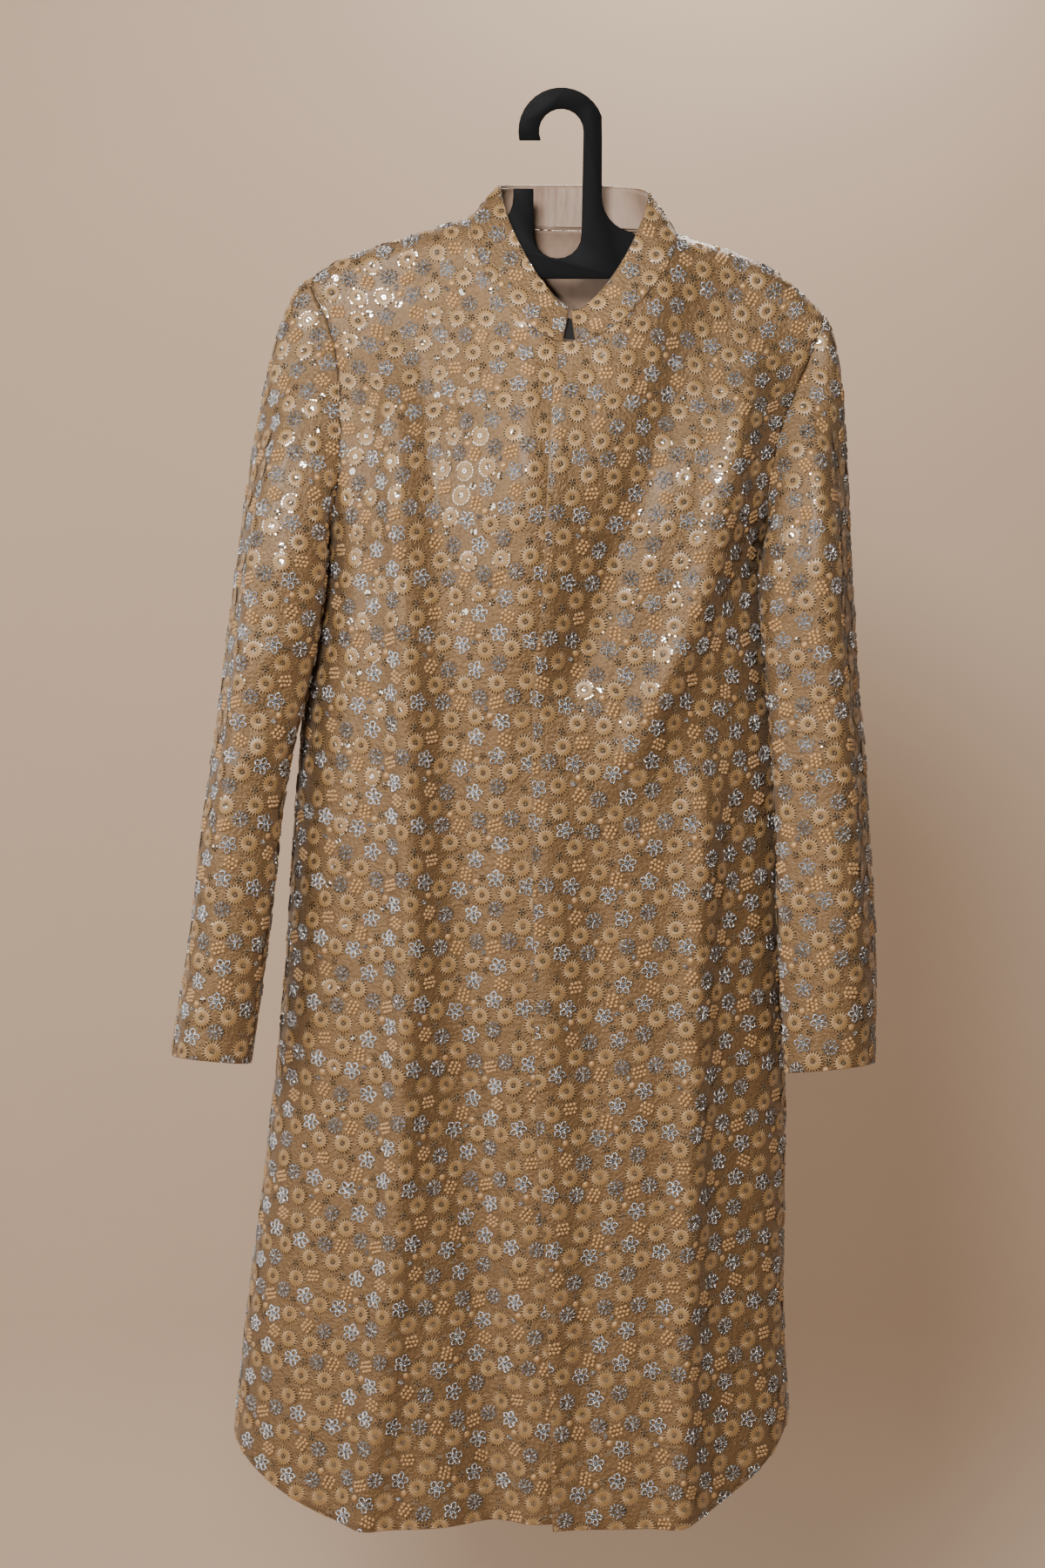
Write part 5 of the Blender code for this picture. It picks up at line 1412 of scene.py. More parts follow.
class ClothSettings(bpy.types.PropertyGroup):
    ground: colour_setting("Ground", "Satin ground of the coat", (0.278, 0.164, 0.068))
    ground_deep: colour_setting("Ground in the weave", "Darker threads of the ground", (0.170, 0.094, 0.037))
    lining: colour_setting("Lining", "Satin lining", (0.380, 0.262, 0.192))
    # The facing is a real piece, but its near-black colour is painted shade of the gap behind the collar's ends.
    facing: colour_setting("Facing", "Dark tab behind the collar's ends", (0.008, 0.007, 0.006))
    plastic: colour_setting("Hanger", "Moulded plastic of the hanger", (0.0018, 0.0021, 0.0028))


class StudioSettings(bpy.types.PropertyGroup):
    key_power: FloatProperty(name="Key light", description="Power of the key light", default=76.0, unit="POWER")
    side_power: FloatProperty(name="Side light", description="Power of the nearer light at one side",
                              default=26.0, unit="POWER")
    neck_power: FloatProperty(name="Neck light", description="Power of the small light over the collar",
                              default=40.0, unit="POWER")
    back_power: FloatProperty(name="Back light", description="Power of the light over the back", default=20.0,
                              unit="POWER")
    air: FloatProperty(name="Surround", description="Strength of the even light", default=0.15)
    wall: colour_setting("Wall", "Floor and wall of the studio", (0.620, 0.470, 0.345))


# ---------------------------------------------------------------- finishes
ONE_WAVE = math.pi / 10     # scale of a wave texture that has one wave to a unit


def new_look(name, colour, roughness, metallic=0.0):
    look = material(name, colour, roughness, metallic)
    return look, look.node_tree, look.node_tree.nodes["Principled BSDF"]


def uv_place(tree, layer, scale):
    """Coordinates of a UV map in its own units times scale."""
    place = add_node(tree, "ShaderNodeUVMap", uv_map=layer)
    mapping = add_node(tree, "ShaderNodeMapping")
    mapping.inputs["Scale"].default_value = scale
    tree.links.new(place.outputs["UV"], mapping.inputs["Vector"])
    return mapping.outputs["Vector"]


def object_place(tree, scale):
    place = add_node(tree, "ShaderNodeTexCoord")
    mapping = add_node(tree, "ShaderNodeMapping")
    mapping.inputs["Scale"].default_value = scale
    tree.links.new(place.outputs["Object"], mapping.inputs["Vector"])
    return mapping.outputs["Vector"]


def add_wave(tree, place, scale, distortion=0.0, direction="X"):
    wave = add_node(tree, "ShaderNodeTexWave", bands_direction=direction)
    wave.inputs["Scale"].default_value = scale
    wave.inputs["Distortion"].default_value = distortion
    tree.links.new(place, wave.inputs["Vector"])
    return wave.outputs["Fac"]


def add_noise(tree, place, scale, detail=2.0, roughness=0.5):
    noise = add_node(tree, "ShaderNodeTexNoise")
    noise.inputs["Scale"].default_value = scale
    noise.inputs["Detail"].default_value = detail
    noise.inputs["Roughness"].default_value = roughness
    tree.links.new(place, noise.inputs["Vector"])
    return noise.outputs["Fac"]


def add_bump(tree, shader, height, strength, distance, below=None):
    bump = add_node(tree, "ShaderNodeBump")
    bump.inputs["Strength"].default_value = strength
    bump.inputs["Distance"].default_value = distance
    tree.links.new(height, bump.inputs["Height"])
    if below is not None:
        tree.links.new(below, bump.inputs["Normal"])
    tree.links.new(bump.outputs["Normal"], shader.inputs["Normal"])
    return bump.outputs["Normal"]


def add_gloss(shader, coat, level):
    """Clear, soft gloss over silk."""
    shader.inputs["Coat Weight"].default_value = coat
    shader.inputs["Coat Roughness"].default_value = 0.34
    shader.inputs["Specular IOR Level"].default_value = level


def blend_colours(tree, shader, share, first, second, start=0.30, end=0.70):
    ramp = add_node(tree, "ShaderNodeValToRGB")
    ramp.color_ramp.elements[0].color = (*first, 1.0)
    ramp.color_ramp.elements[1].color = (*second, 1.0)
    ramp.color_ramp.elements[0].position = start
    ramp.color_ramp.elements[1].position = end
    tree.links.new(share, ramp.inputs["Fac"])
    tree.links.new(ramp.outputs["Color"], shader.inputs["Base Color"])


def vary_roughness(tree, shader, share, low, high):
    spread = add_node(tree, "ShaderNodeMapRange")
    spread.inputs["To Min"].default_value = low
    spread.inputs["To Max"].default_value = high
    tree.links.new(share, spread.inputs["Value"])
    tree.links.new(spread.outputs["Result"], shader.inputs["Roughness"])


def brocade_look(settings):
    """Satin ground: fine twill lines with uneven, slightly darker threads."""
    look, tree, shader = new_look("brocade_ground", settings.ground, 0.42, 0.45)
    add_gloss(shader, 0.20, 0.70)
    shader.inputs["Sheen Weight"].default_value = 0.15
    shader.inputs["Sheen Roughness"].default_value = 0.45
    place = uv_place(tree, "cloth", (1.0, 1.0, 1.0))
    cloudy = add_noise(tree, place, 300.0, 3.0, 0.70)
    blend_colours(tree, shader, cloudy, tuple(settings.ground_deep), tuple(settings.ground))
    vary_roughness(tree, shader, cloudy, 0.46, 0.38)
    twill = add_wave(tree, uv_place(tree, "cloth", (1.0, 1.6, 1.0)), 260.0, 1.2, "DIAGONAL")
    normal = add_bump(tree, shader, twill, 0.45, 0.0003)
    add_bump(tree, shader, add_noise(tree, place, 330.0, 3.0, 0.60), 0.90, 0.0022, normal)
    return look


def thread_look(name, colour, strands_across, roughness):
    """Silk stitches laid side by side: bundles of several strands, with painted shade darkening the gaps between the
    bundles.
    """
    look, tree, shader = new_look(name, colour, roughness, 0.25)
    add_gloss(shader, 0.50, 0.80)
    shader.inputs["Sheen Weight"].default_value = 0.20
    shader.inputs["Sheen Roughness"].default_value = 0.40
    bundles = add_wave(tree, uv_place(tree, "stitch", (1.0, 0.02, 1.0)), ONE_WAVE)
    strands = add_wave(tree, uv_place(tree, "stitch", (1.0, 0.06, 1.0)), ONE_WAVE * strands_across, 1.0)
    # Painted shade: the grooves between the bundles are darkened to 0.40 of the thread's colour.
    deep = tuple(0.40 * c for c in colour)
    blend_colours(tree, shader, bundles, deep, tuple(colour), 0.05, 0.55)
    vary_roughness(tree, shader, strands, roughness + 0.03, roughness - 0.03)
    normal = add_bump(tree, shader, bundles, 0.8, 0.0005)
    add_bump(tree, shader, strands, 0.5, 0.0002, normal)
    return look


def silver_look(settings):
    """Metallic cord: fine diagonal wraps, with painted shade darkening the grooves between them."""
    look, tree, shader = new_look("silver_cord", settings.silver, 0.25, 1.0)
    place = uv_place(tree, "stitch", (2.2, 1.1, 1.0))
    wraps = add_wave(tree, place, 1.0, 0.8, "DIAGONAL")
    # Painted shade: the grooves between the wraps are darkened to 0.45 of the cord's colour.
    deep = tuple(0.45 * c for c in settings.silver)
    blend_colours(tree, shader, wraps, deep, tuple(settings.silver))
    add_bump(tree, shader, wraps, 0.8, 0.0003)
    return look


def sequin_look(settings):
    """Mirror-bright sequin with a slightly uneven face."""
    look, tree, shader = new_look("sequin", settings.sequin, 0.13, 1.0)
    place = object_place(tree, (1.0, 1.0, 1.0))
    uneven = add_noise(tree, place, 160.0, 1.0)
    vary_roughness(tree, shader, uneven, 0.08, 0.18)
    add_bump(tree, shader, uneven, 0.50, 0.0028)
    return look


def lining_look(settings):
    """Satin lining: fine warp lines and a soft, uneven gloss."""
    look, tree, shader = new_look("lining_satin", settings.lining, 0.36)
    shader.inputs["Sheen Weight"].default_value = 0.25
    shader.inputs["Sheen Roughness"].default_value = 0.35
    shader.inputs["Specular IOR Level"].default_value = 0.40
    place = object_place(tree, (1.0, 1.0, 1.0))
    cloudy = add_noise(tree, place, 70.0, 2.0)
    deep = tuple(0.86 * c for c in settings.lining)
    blend_colours(tree, shader, cloudy, deep, tuple(settings.lining))
    vary_roughness(tree, shader, cloudy, 0.48, 0.58)
    warp = add_noise(tree, object_place(tree, (1.0, 1.0, 0.05)), 2600.0, 1.0)
    normal = add_bump(tree, shader, warp, 0.25, 0.0002)
    drape = add_noise(tree, object_place(tree, (1.0, 1.0, 0.12)), 110.0, 2.0)
    add_bump(tree, shader, drape, 0.60, 0.0030, normal)
    return look


def facing_shade_look(settings):
    """Plain-woven cloth of the facing, coloured near black as painted shade of the gap behind the collar's ends."""
    look, tree, shader = new_look("facing_cloth", settings.facing, 0.85)
    shader.inputs["Sheen Weight"].default_value = 0.05
    place = object_place(tree, (1.0, 1.0, 1.0))
    weft = add_wave(tree, place, 900.0, 0.5, "Z")
    normal = add_bump(tree, shader, weft, 0.4, 0.0002)
    add_bump(tree, shader, add_wave(tree, place, 900.0, 0.5, "X"), 0.4, 0.0002, normal)
    blend_colours(tree, shader, add_noise(tree, place, 220.0), tuple(0.7 * c for c in settings.facing),
                  tuple(1.3 * c for c in settings.facing))
    return look


def plastic_look(settings):
    """Moulded plastic: fine grain, a slightly uneven gloss and paler, rubbed patches."""
    look, tree, shader = new_look("hanger_plastic", settings.plastic, 0.50)
    shader.inputs["Specular IOR Level"].default_value = 0.08
    place = object_place(tree, (1.0, 1.0, 1.0))
    cloudy = add_noise(tree, place, 28.0, 3.0, 0.6)
    vary_roughness(tree, shader, cloudy, 0.42, 0.60)
    rubbed = tuple(1.5 * c for c in settings.plastic)
    blend_colours(tree, shader, cloudy, tuple(settings.plastic), rubbed)
    add_bump(tree, shader, add_noise(tree, place, 1500.0, 2.0), 0.18, 0.0002)
    return look


def wall_look(settings):
    """Painted board: even, with a very slight mottle, and clear from behind."""
    look, tree, shader = new_look("studio_wall", settings.wall, 0.90)
    place = object_place(tree, (1.0, 1.0, 1.0))
    cloudy = add_noise(tree, place, 3.0, 2.0)
    blend_colours(tree, shader, cloudy, tuple(0.97 * c for c in settings.wall), tuple(settings.wall))
    add_bump(tree, shader, add_noise(tree, place, 220.0), 0.05, 0.0010)
    clear = add_node(tree, "ShaderNodeBsdfTransparent")
    sides = add_node(tree, "ShaderNodeMixShader")
    tree.links.new(add_node(tree, "ShaderNodeNewGeometry").outputs["Backfacing"], sides.inputs["Fac"])
    tree.links.new(shader.outputs["BSDF"], sides.inputs[1])
    tree.links.new(clear.outputs["BSDF"], sides.inputs[2])
    tree.links.new(sides.outputs["Shader"], tree.nodes["Material Output"].inputs["Surface"])
    return look


MADE_LOOKS = {}


def look_of(name):
    """Finish by name, made when it is first asked for."""
    if name in MADE_LOOKS:
        return bpy.data.materials[MADE_LOOKS[name]]
    scene = bpy.context.scene
    embroidery, cloth = scene.coat_embroidery, scene.coat_cloth
    if name == "brocade_ground":
        made = brocade_look(cloth)
    elif name == "wheel_thread":
        made = thread_look(name, tuple(embroidery.thread), 3.0, 0.39)
    elif name == "knot_thread":
        made = thread_look(name, tuple(embroidery.knots), 2.0, 0.43)
    elif name == "silver_cord":
        made = silver_look(embroidery)
    elif name == "sequin":
        made = sequin_look(embroidery)
    elif name == "lining_satin":
        made = lining_look(cloth)
    elif name == "facing_cloth":
        made = facing_shade_look(cloth)
    elif name == "hanger_plastic":
        made = plastic_look(cloth)
    else:
        made = wall_look(scene.coat_studio)
    MADE_LOOKS[name] = made.name
    return made


# ---------------------------------------------------------------- cloth as a measured surface
def normals_of(points):
    """Unit normal at each point of a grid."""
    down = np.gradient(points, axis=0)
    across = np.gradient(points, axis=1)
    normal = np.cross(across, down)
    length = np.linalg.norm(normal, axis=2, keepdims=True)
    return normal / np.maximum(length, 1e-9)


def facing_out(points, inner):
    """Normals of a grid that point away from its inner grid."""
    normal = normals_of(points)
    if np.sum(normal * (points - inner)) < 0:
        normal = -normal
    return normal


def measure(points, middle):
    """Flat lengths of a grid: across from its middle column, and up from its last row."""
    apart = np.linalg.norm(np.diff(points[::-1], axis=0), axis=2)
    along = np.concatenate([np.zeros((1, points.shape[1])), np.cumsum(apart, axis=0)])[::-1]
    apart = np.linalg.norm(np.diff(points, axis=1), axis=2)
    rise = np.diff(along, axis=1)
    step = np.sqrt(np.maximum(apart**2 - rise**2, (LEAST_ACROSS * apart) ** 2))
    across = np.concatenate([np.zeros((len(points), 1)), np.cumsum(step, axis=1)], axis=1)
    return np.stack([across - across[:, middle:middle + 1], along], axis=-1)


def relax(flat, points, rounds):
    """Evens out flat lengths until their spacing is the cloth's own."""
    rows, columns = flat.shape[:2]
    count = np.zeros((rows, columns, 1))
    links = []
    for down, across in ((0, 1), (1, 0), (1, 1), (1, -1)):
        near = (slice(0, rows - down), slice(max(0, -across), columns - max(0, across)))
        far = (slice(down, rows), slice(max(0, across), columns + min(0, across)))
        links.append((near, far, np.linalg.norm(points[far] - points[near], axis=2)))
        count[near] += 1
        count[far] += 1
    for _ in range(rounds):
        move = np.zeros_like(flat)
        for near, far, length in links:
            run = flat[far] - flat[near]
            now = np.maximum(np.linalg.norm(run, axis=2), 1e-9)
            shift = run * (0.5 * (1.0 - length / now))[..., None]
            move[near] += shift
            move[far] -= shift
        flat = flat + OVER_RELAX * move / count
    return flat


def body_lengths(angle, z, back):
    """Flat lengths of body points: across from the middle line and up from the lowest level."""
    angles = np.linspace(-0.5 * math.pi, 0.5 * math.pi, 241)
    levels = np.linspace(-0.080, -1.230, 231)
    table = body_point(angles[None, :], levels[:, None], 0.0, back)
    lengths = measure(table, 120)
    row = np.interp(-z, -levels, np.arange(231.0))
    column = np.interp(angle, angles, np.arange(241.0))
    return sample(lengths, row.ravel(), column.ravel()).reshape(*angle.shape, 2)


def sample(grid, row, column):
    """Value of a grid at fractional rows and columns, carried on straight past its edges."""
    i = np.clip(np.floor(row).astype(int), 0, grid.shape[0] - 2)
    j = np.clip(np.floor(column).astype(int), 0, grid.shape[1] - 2)
    u, v = (row - i)[:, None], (column - j)[:, None]
    near = (1 - u) * grid[i, j] + u * grid[i + 1, j]
    far = (1 - u) * grid[i, j + 1] + u * grid[i + 1, j + 1]
    return (1 - v) * near + v * far


def sample_steps(grid, row, column):
    """Change of a grid's value for one row and for one column at fractional places."""
    i = np.clip(np.floor(row).astype(int), 0, grid.shape[0] - 2)
    j = np.clip(np.floor(column).astype(int), 0, grid.shape[1] - 2)
    u, v = (row - i)[:, None], (column - j)[:, None]
    per_row = (1 - v) * (grid[i + 1, j] - grid[i, j]) + v * (grid[i + 1, j + 1] - grid[i, j + 1])
    per_column = (1 - u) * (grid[i, j + 1] - grid[i, j]) + u * (grid[i + 1, j + 1] - grid[i + 1, j])
    return per_row, per_column


def locate(lengths, targets):
    """Fractional row and column of flat cloth places, by Newton steps from the nearest grid point."""
    low = lengths.reshape(-1, 2).min(axis=0) - LOCATE_CELL
    flat = lengths[::2, ::2].reshape(-1, 2)
    counts = np.ceil((lengths.reshape(-1, 2).max(axis=0) + LOCATE_CELL - low) / LOCATE_CELL).astype(int) + 1
    nodes = low + LOCATE_CELL * np.stack(np.meshgrid(*[np.arange(c) for c in counts], indexing="ij"), axis=-1)
    nearest = np.empty(counts, dtype=int)
    for i in range(counts[0]):
        apart = np.sum((nodes[i][:, None] - flat[None]) ** 2, axis=2)
        nearest[i] = np.argmin(apart, axis=1)
    cell = np.clip(np.round((targets - low) / LOCATE_CELL).astype(int), 0, counts - 1)
    start = nearest[cell[:, 0], cell[:, 1]]
    width = lengths[::2, ::2].shape[1]
    row, column = (start // width) * 2.0, (start % width) * 2.0
    for _ in range(12):
        miss = targets - sample(lengths, row, column)
        per_row, per_column = sample_steps(lengths, row, column)
        det = per_row[:, 0] * per_column[:, 1] - per_row[:, 1] * per_column[:, 0]
        det = np.where(np.abs(det) < 1e-12, 1e-12, det)
        step_row = (miss[:, 0] * per_column[:, 1] - miss[:, 1] * per_column[:, 0]) / det
        step_column = (per_row[:, 0] * miss[:, 1] - per_row[:, 1] * miss[:, 0]) / det
        row = np.clip(row + np.clip(step_row, -3, 3), -2.0, lengths.shape[0] + 1.0)
        column = np.clip(column + np.clip(step_column, -3, 3), -2.0, lengths.shape[1] + 1.0)
    miss = np.linalg.norm(targets - sample(lengths, row, column), axis=1)
    return row, column, miss


def make_mesh(name, points, faces, looks, uv=None, face_looks=None):
    """Mesh object from points and faces, with a UV place for each point where one is given."""
    mesh = bpy.data.meshes.new(name)
    mesh.from_pydata([tuple(map(float, p)) for p in points], [], faces)
    for look in looks:
        mesh.materials.append(look)
    if face_looks is not None:
        mesh.polygons.foreach_set("material_index", np.asarray(face_looks, dtype=np.int32))
    if uv is not None:
        corner = np.empty(len(mesh.loops), dtype=np.int32)
        mesh.loops.foreach_get("vertex_index", corner)
        layer = mesh.uv_layers.new(name="cloth")
        layer.data.foreach_set("uv", np.asarray(uv, dtype=np.float32)[corner].ravel())
    mesh.shade_smooth()
    mesh.update()
    made = bpy.data.objects.new(name, mesh)
    bpy.context.scene.collection.objects.link(made)
    return made


def finish_piece(piece, node=None):
    """Every piece rides on the one body and, where a node is given, stands in for that node, which it hides."""
    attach(piece, BODY)
    if node:
        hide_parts(node)


def add_shell(name, outer, inner, lengths, looks, free_edges):
    """Closed cloth shell with a round rim on its free edges. looks are the right side and the inside."""
    rows, columns = outer.shape[:2]
    count = rows * columns
    ring = [(0, c) for c in range(columns)] + [(r, columns - 1) for r in range(1, rows)]
    ring += [(rows - 1, c) for c in range(columns - 2, -1, -1)] + [(r, 0) for r in range(rows - 2, 0, -1)]
    rim = []
    for r, c in ring:
        away = np.zeros(3)
        if r == rows - 1 and "bottom" in free_edges:
            away = outer[r, c] - outer[r - 1, c]
        if r == 0 and "top" in free_edges:
            away = outer[r, c] - outer[r + 1, c]
        if c == 0 and "first" in free_edges:
            away = away + outer[r, c] - outer[r, c + 1]
        if c == columns - 1 and "last" in free_edges:
            away = away + outer[r, c] - outer[r, c - 1]
        length = max(float(np.linalg.norm(away)), 1e-9)
        rim.append((outer[r, c] + inner[r, c]) / 2 + away / length * RIM_ROUND)
    points = np.concatenate([outer.reshape(-1, 3), inner.reshape(-1, 3), np.array(rim)])
    faces, face_looks = [], []
    for r in range(rows - 1):
        for c in range(columns - 1):
            a = r * columns + c
            faces.append((a, a + 1, a + columns + 1, a + columns))
            faces.append((count + a, count + a + columns, count + a + columns + 1, count + a + 1))
            face_looks += [0, 1]
    edge = [r * columns + c for r, c in ring]
    last = len(edge)
    for k in range(last):
        n = (k + 1) % last
        middle, beyond = 2 * count + k, 2 * count + n
        faces.append((edge[k], middle, beyond, edge[n]))
        faces.append((middle, count + edge[k], count + edge[n], beyond))
        face_looks += [0, 0]
    if signed_volume(points, faces) < 0:
        faces = [tuple(reversed(face)) for face in faces]
    flat = lengths.reshape(-1, 2)
    uv = np.concatenate([flat, flat, np.array([lengths[r, c] for r, c in ring])])
    return make_mesh(name, points, faces, looks, uv, face_looks)


def cut_size(points):
    """Width, length and area of a grid laid flat."""
    across = np.linalg.norm(np.diff(points, axis=1), axis=2)
    along = np.linalg.norm(np.diff(points, axis=0), axis=2)
    side_a = np.cross(points[1:, :-1] - points[:-1, :-1], points[:-1, 1:] - points[:-1, :-1])
    side_b = np.cross(points[1:, :-1] - points[1:, 1:], points[:-1, 1:] - points[1:, 1:])
    area = 0.5 * (np.linalg.norm(side_a, axis=2).sum() + np.linalg.norm(side_b, axis=2).sum())
    return float(across.sum(axis=1).max()), float(along.sum(axis=0).max()), float(area)


# ---------------------------------------------------------------- pieces
FLAT_CUTS = {}


def embroider(name, outer, normals, lengths, keep=None, phase=(0.0, 0.0), rows=None):
    """Embroidery of one panel, as a piece that rides with its cloth."""
    settings = bpy.context.scene.coat_embroidery
    if rows is not None:
        outer, normals, lengths = outer[rows], normals[rows], lengths[rows]
        keep = None if keep is None else keep[rows]
    flat_points = lengths.reshape(-1, 2)
    flat = flat_embroidery(name, embroidery_tree_of(), flat_points.min(axis=0), flat_points.max(axis=0),
                           embroidery_values(settings), np.array(phase))
    made = wrap_embroidery(name, flat, outer, normals, lengths, keep, settings.relief)
    bpy.data.meshes.remove(flat)
    finish_piece(made)
    return made


def embroidery_tree_of():
    if "Embroidery" in bpy.data.node_groups:
        return bpy.data.node_groups["Embroidery"]
    return embroidery_tree()


def embroidery_values(settings):
    """Inputs of the embroidery tree. The motifs are made once and taken away at the end."""
    values = {"Motif Scale": settings.motif_scale, "Tilt": settings.tilt, "Seed": settings.seed}
    for kind in KINDS:
        if kind not in bpy.data.objects:
            MOTIF_MAKERS[kind]()
        values[kind] = bpy.data.objects[kind]
    for part, look in (("thread", "wheel_thread"), ("knots", "knot_thread"), ("silver", "silver_cord"),
                       ("sequin", "sequin")):
        values[part] = look_of(look)
    return values


def remove_motifs():
    for kind in KINDS:
        if kind in bpy.data.objects:
            bpy.data.objects.remove(bpy.data.objects[kind], do_unlink=True)


def declare_cloth(shell, outer):
    width, length, area = cut_size(outer)
    FLAT_CUTS[shell.name] = (width, length, area)


def cloth_looks():
    return [look_of("brocade_ground"), look_of("lining_satin")]


class COAT_OT_front_right(bpy.types.Operator):
    """Right front, which lies under the other at the middle"""
    bl_idname = "coat.front_right"
    bl_label = "Right front"

    def execute(self, context):
        angle, z = front_panel(-1, FRONT_COLUMNS, YOKE_ROWS, BODY_ROWS)
        sunk = underlap_inset(angle, z)
        outer = body_point(angle, z, sunk)
        inner = body_point(angle, z, sunk + SHELL_WALL)
        lengths = body_lengths(angle, z, False)
        shell = add_shell("front_right_cloth", outer, inner, lengths, cloth_looks(), ("bottom", "first"))
        finish_piece(shell, "front_right")
        keep = (body_x(angle, z) < upper_edge_x(z) + UNDERLAP_HIDDEN).astype(float)
        stitched = embroider("front_right_embroidery", outer, facing_out(outer, inner), lengths, keep)
        declare_cloth(shell, outer)
        return {"FINISHED"}


class COAT_OT_front_left(bpy.types.Operator):
    """Left front, which laps over the other"""
    bl_idname = "coat.front_left"
    bl_label = "Left front"

    def execute(self, context):
        angle, z = front_panel(1, FRONT_COLUMNS, YOKE_ROWS, BODY_ROWS)
        outer = body_point(angle, z, 0.0)
        inner = body_point(angle, z, SHELL_WALL)
        lengths = body_lengths(angle, z, False)
        shell = add_shell("front_left_cloth", outer, inner, lengths, cloth_looks(), ("bottom", "first"))
        finish_piece(shell, "front_left")
        stitched = embroider("front_left_embroidery", outer, facing_out(outer, inner), lengths,
                             phase=(0.031, 0.047))
        declare_cloth(shell, outer)
        return {"FINISHED"}


class COAT_OT_back(bpy.types.Operator):
    """Back, cut in one piece"""
    bl_idname = "coat.back"
    bl_label = "Back"

    def execute(self, context):
        angle, z = back_panel(BACK_COLUMNS, YOKE_ROWS, BODY_ROWS)
        outer = body_point(angle, z, 0.0, True)
        inner = body_point(angle, z, SHELL_WALL, True)
        lengths = body_lengths(angle, z, True)
        shell = add_shell("back_cloth", outer, inner, lengths, cloth_looks(), ("bottom",))
        finish_piece(shell, "back")
        normals = facing_out(outer, inner)
        upper = embroider("back_upper_embroidery", outer, normals, lengths, phase=(0.050, 0.020),
                          rows=slice(0, BACK_SPLIT_ROW + 1))
        lower = embroider("back_lower_embroidery", outer, normals, lengths, phase=(0.050, 0.020),
                          rows=slice(BACK_SPLIT_ROW, None))
        declare_cloth(shell, outer)
        return {"FINISHED"}


class COAT_OT_sleeves(bpy.types.Operator):
    """Two-piece sleeves, set into the armholes"""
    bl_idname = "coat.sleeves"
    bl_label = "Sleeves"

    def execute(self, context):
        row_angle = math.pi / YOKE_ROWS
        for side, wearer in ((-1, "right"), (1, "left")):
            top_angles = np.arange(-BACK_SEAM_ROW, FRONT_SEAM_ROW + 1) * row_angle
            under_angles = np.arange(FRONT_SEAM_ROW, 2 * YOKE_ROWS - BACK_SEAM_ROW + 1) * row_angle
            for part in (top_angles, under_angles):
                part[0] += SLEEVE_SEAM_ANGLE
                part[-1] -= SLEEVE_SEAM_ANGLE
            angles = np.concatenate([top_angles, under_angles])
            grid, normal = sleeve_surface(side, angles, CAP_ROWS, SLEEVE_ROWS)
            inner = grid - normal * SHELL_WALL
            split = len(top_angles)
            for part, columns, middle in (("top", slice(0, split), BACK_SEAM_ROW),
                                          ("under", slice(split, None), (len(under_angles) - 1) // 2)):
                node = "sleeve_%s_%s" % (wearer, part)
                outer, lining = grid[:, columns], inner[:, columns]
                lengths = measure(outer, middle)
                lengths[:CAP_ROWS, :, 0] = lengths[CAP_ROWS, :, 0]
                if part == "top":
                    lengths = relax(lengths, outer, RELAX_ROUNDS)
                shell = add_shell(node + "_cloth", outer, lining, lengths, cloth_looks(), ("bottom",))
                finish_piece(shell, node)
                phase = (0.012 if side < 0 else 0.064, 0.033 if part == "top" else 0.081)
                stitched = embroider(node + "_embroidery", outer, facing_out(outer, lining), lengths,
                                     phase=phase)
                declare_cloth(shell, outer)
        return {"FINISHED"}


class COAT_OT_collar(bpy.types.Operator):
    """Standing collar with its embroidery"""
    bl_idname = "coat.collar"
    bl_label = "Collar"

    def execute(self, context):
        angles = collar_columns()
        outer = collar_grid(angles, COLLAR_HEIGHTS, 0.0)
        inner = collar_grid(angles, COLLAR_HEIGHTS, SHELL_WALL)
        lengths = relax(measure(outer, len(angles) // 2), outer, RELAX_ROUNDS // 4)
        shell = add_shell("collar_cloth", outer, inner, lengths, cloth_looks(), ("bottom", "first", "last"))
        finish_piece(shell, "collar")
        stitched = embroider("collar_embroidery", outer, facing_out(outer, inner), lengths,
                             phase=(0.020, 0.030))
        declare_cloth(shell, outer)
        return {"FINISHED"}


def add_lining_cloth(name, outer, inner, draw, node, gathers):
    """Satin lining against a wall, with soft gathers pressed into its inner side."""
    near = lining_layer(outer, inner, draw, SEAM_GAP)
    far = lining_layer(outer, inner, draw, SEAM_GAP + LINING_WALL)
    inward = far - near
    inward = inward / np.linalg.norm(inward, axis=2)[..., None]
    far = far + inward * gathers(far)[..., None]
    lengths = measure(far, far.shape[1] // 2)
    shell = add_shell(name, near, far, lengths, [look_of("lining_satin")] * 2, ())
    finish_piece(shell, node)
    declare_cloth(shell, far)
    return shell


def collar_gathers(points):
    """Uneven upright gathers, deepest at the neck seam."""
    rows, columns = points.shape[:2]
    up = np.linspace(0.0, 1.0, rows)[:, None]
    along = np.linspace(0.0, 1.0, columns)[None, :]
    waves = np.sin(41.0 * along + 2.0 * np.sin(9.0 * along)) + 0.6 * np.sin(67.0 * along + 1.3 * np.sin(13.0 * along))
    return 0.0008 * waves * (1.0 - 0.7 * up) * np.sin(math.pi * np.clip(along, 0, 1)) ** 0.3


def neck_gathers(points):
    """Soft folds that hang from the back of the neck."""
    down = np.linspace(0.0, 1.0, len(points))[:, None]
    x = points[..., 0]
    waves = 0.0022 * np.exp(-((x - 0.004 + 0.004 * down) / 0.007) ** 2) * ease(down / 0.5)
    waves = waves + 0.0010 * np.sin(x * 260.0 + 1.4 * np.sin(x * 90.0)) * ease(down / 0.2) * (1.0 - 0.5 * down)
    pucker = 0.0005 * np.sin(x * 900.0) * np.exp(-(down / 0.10) ** 2)
    return waves + pucker


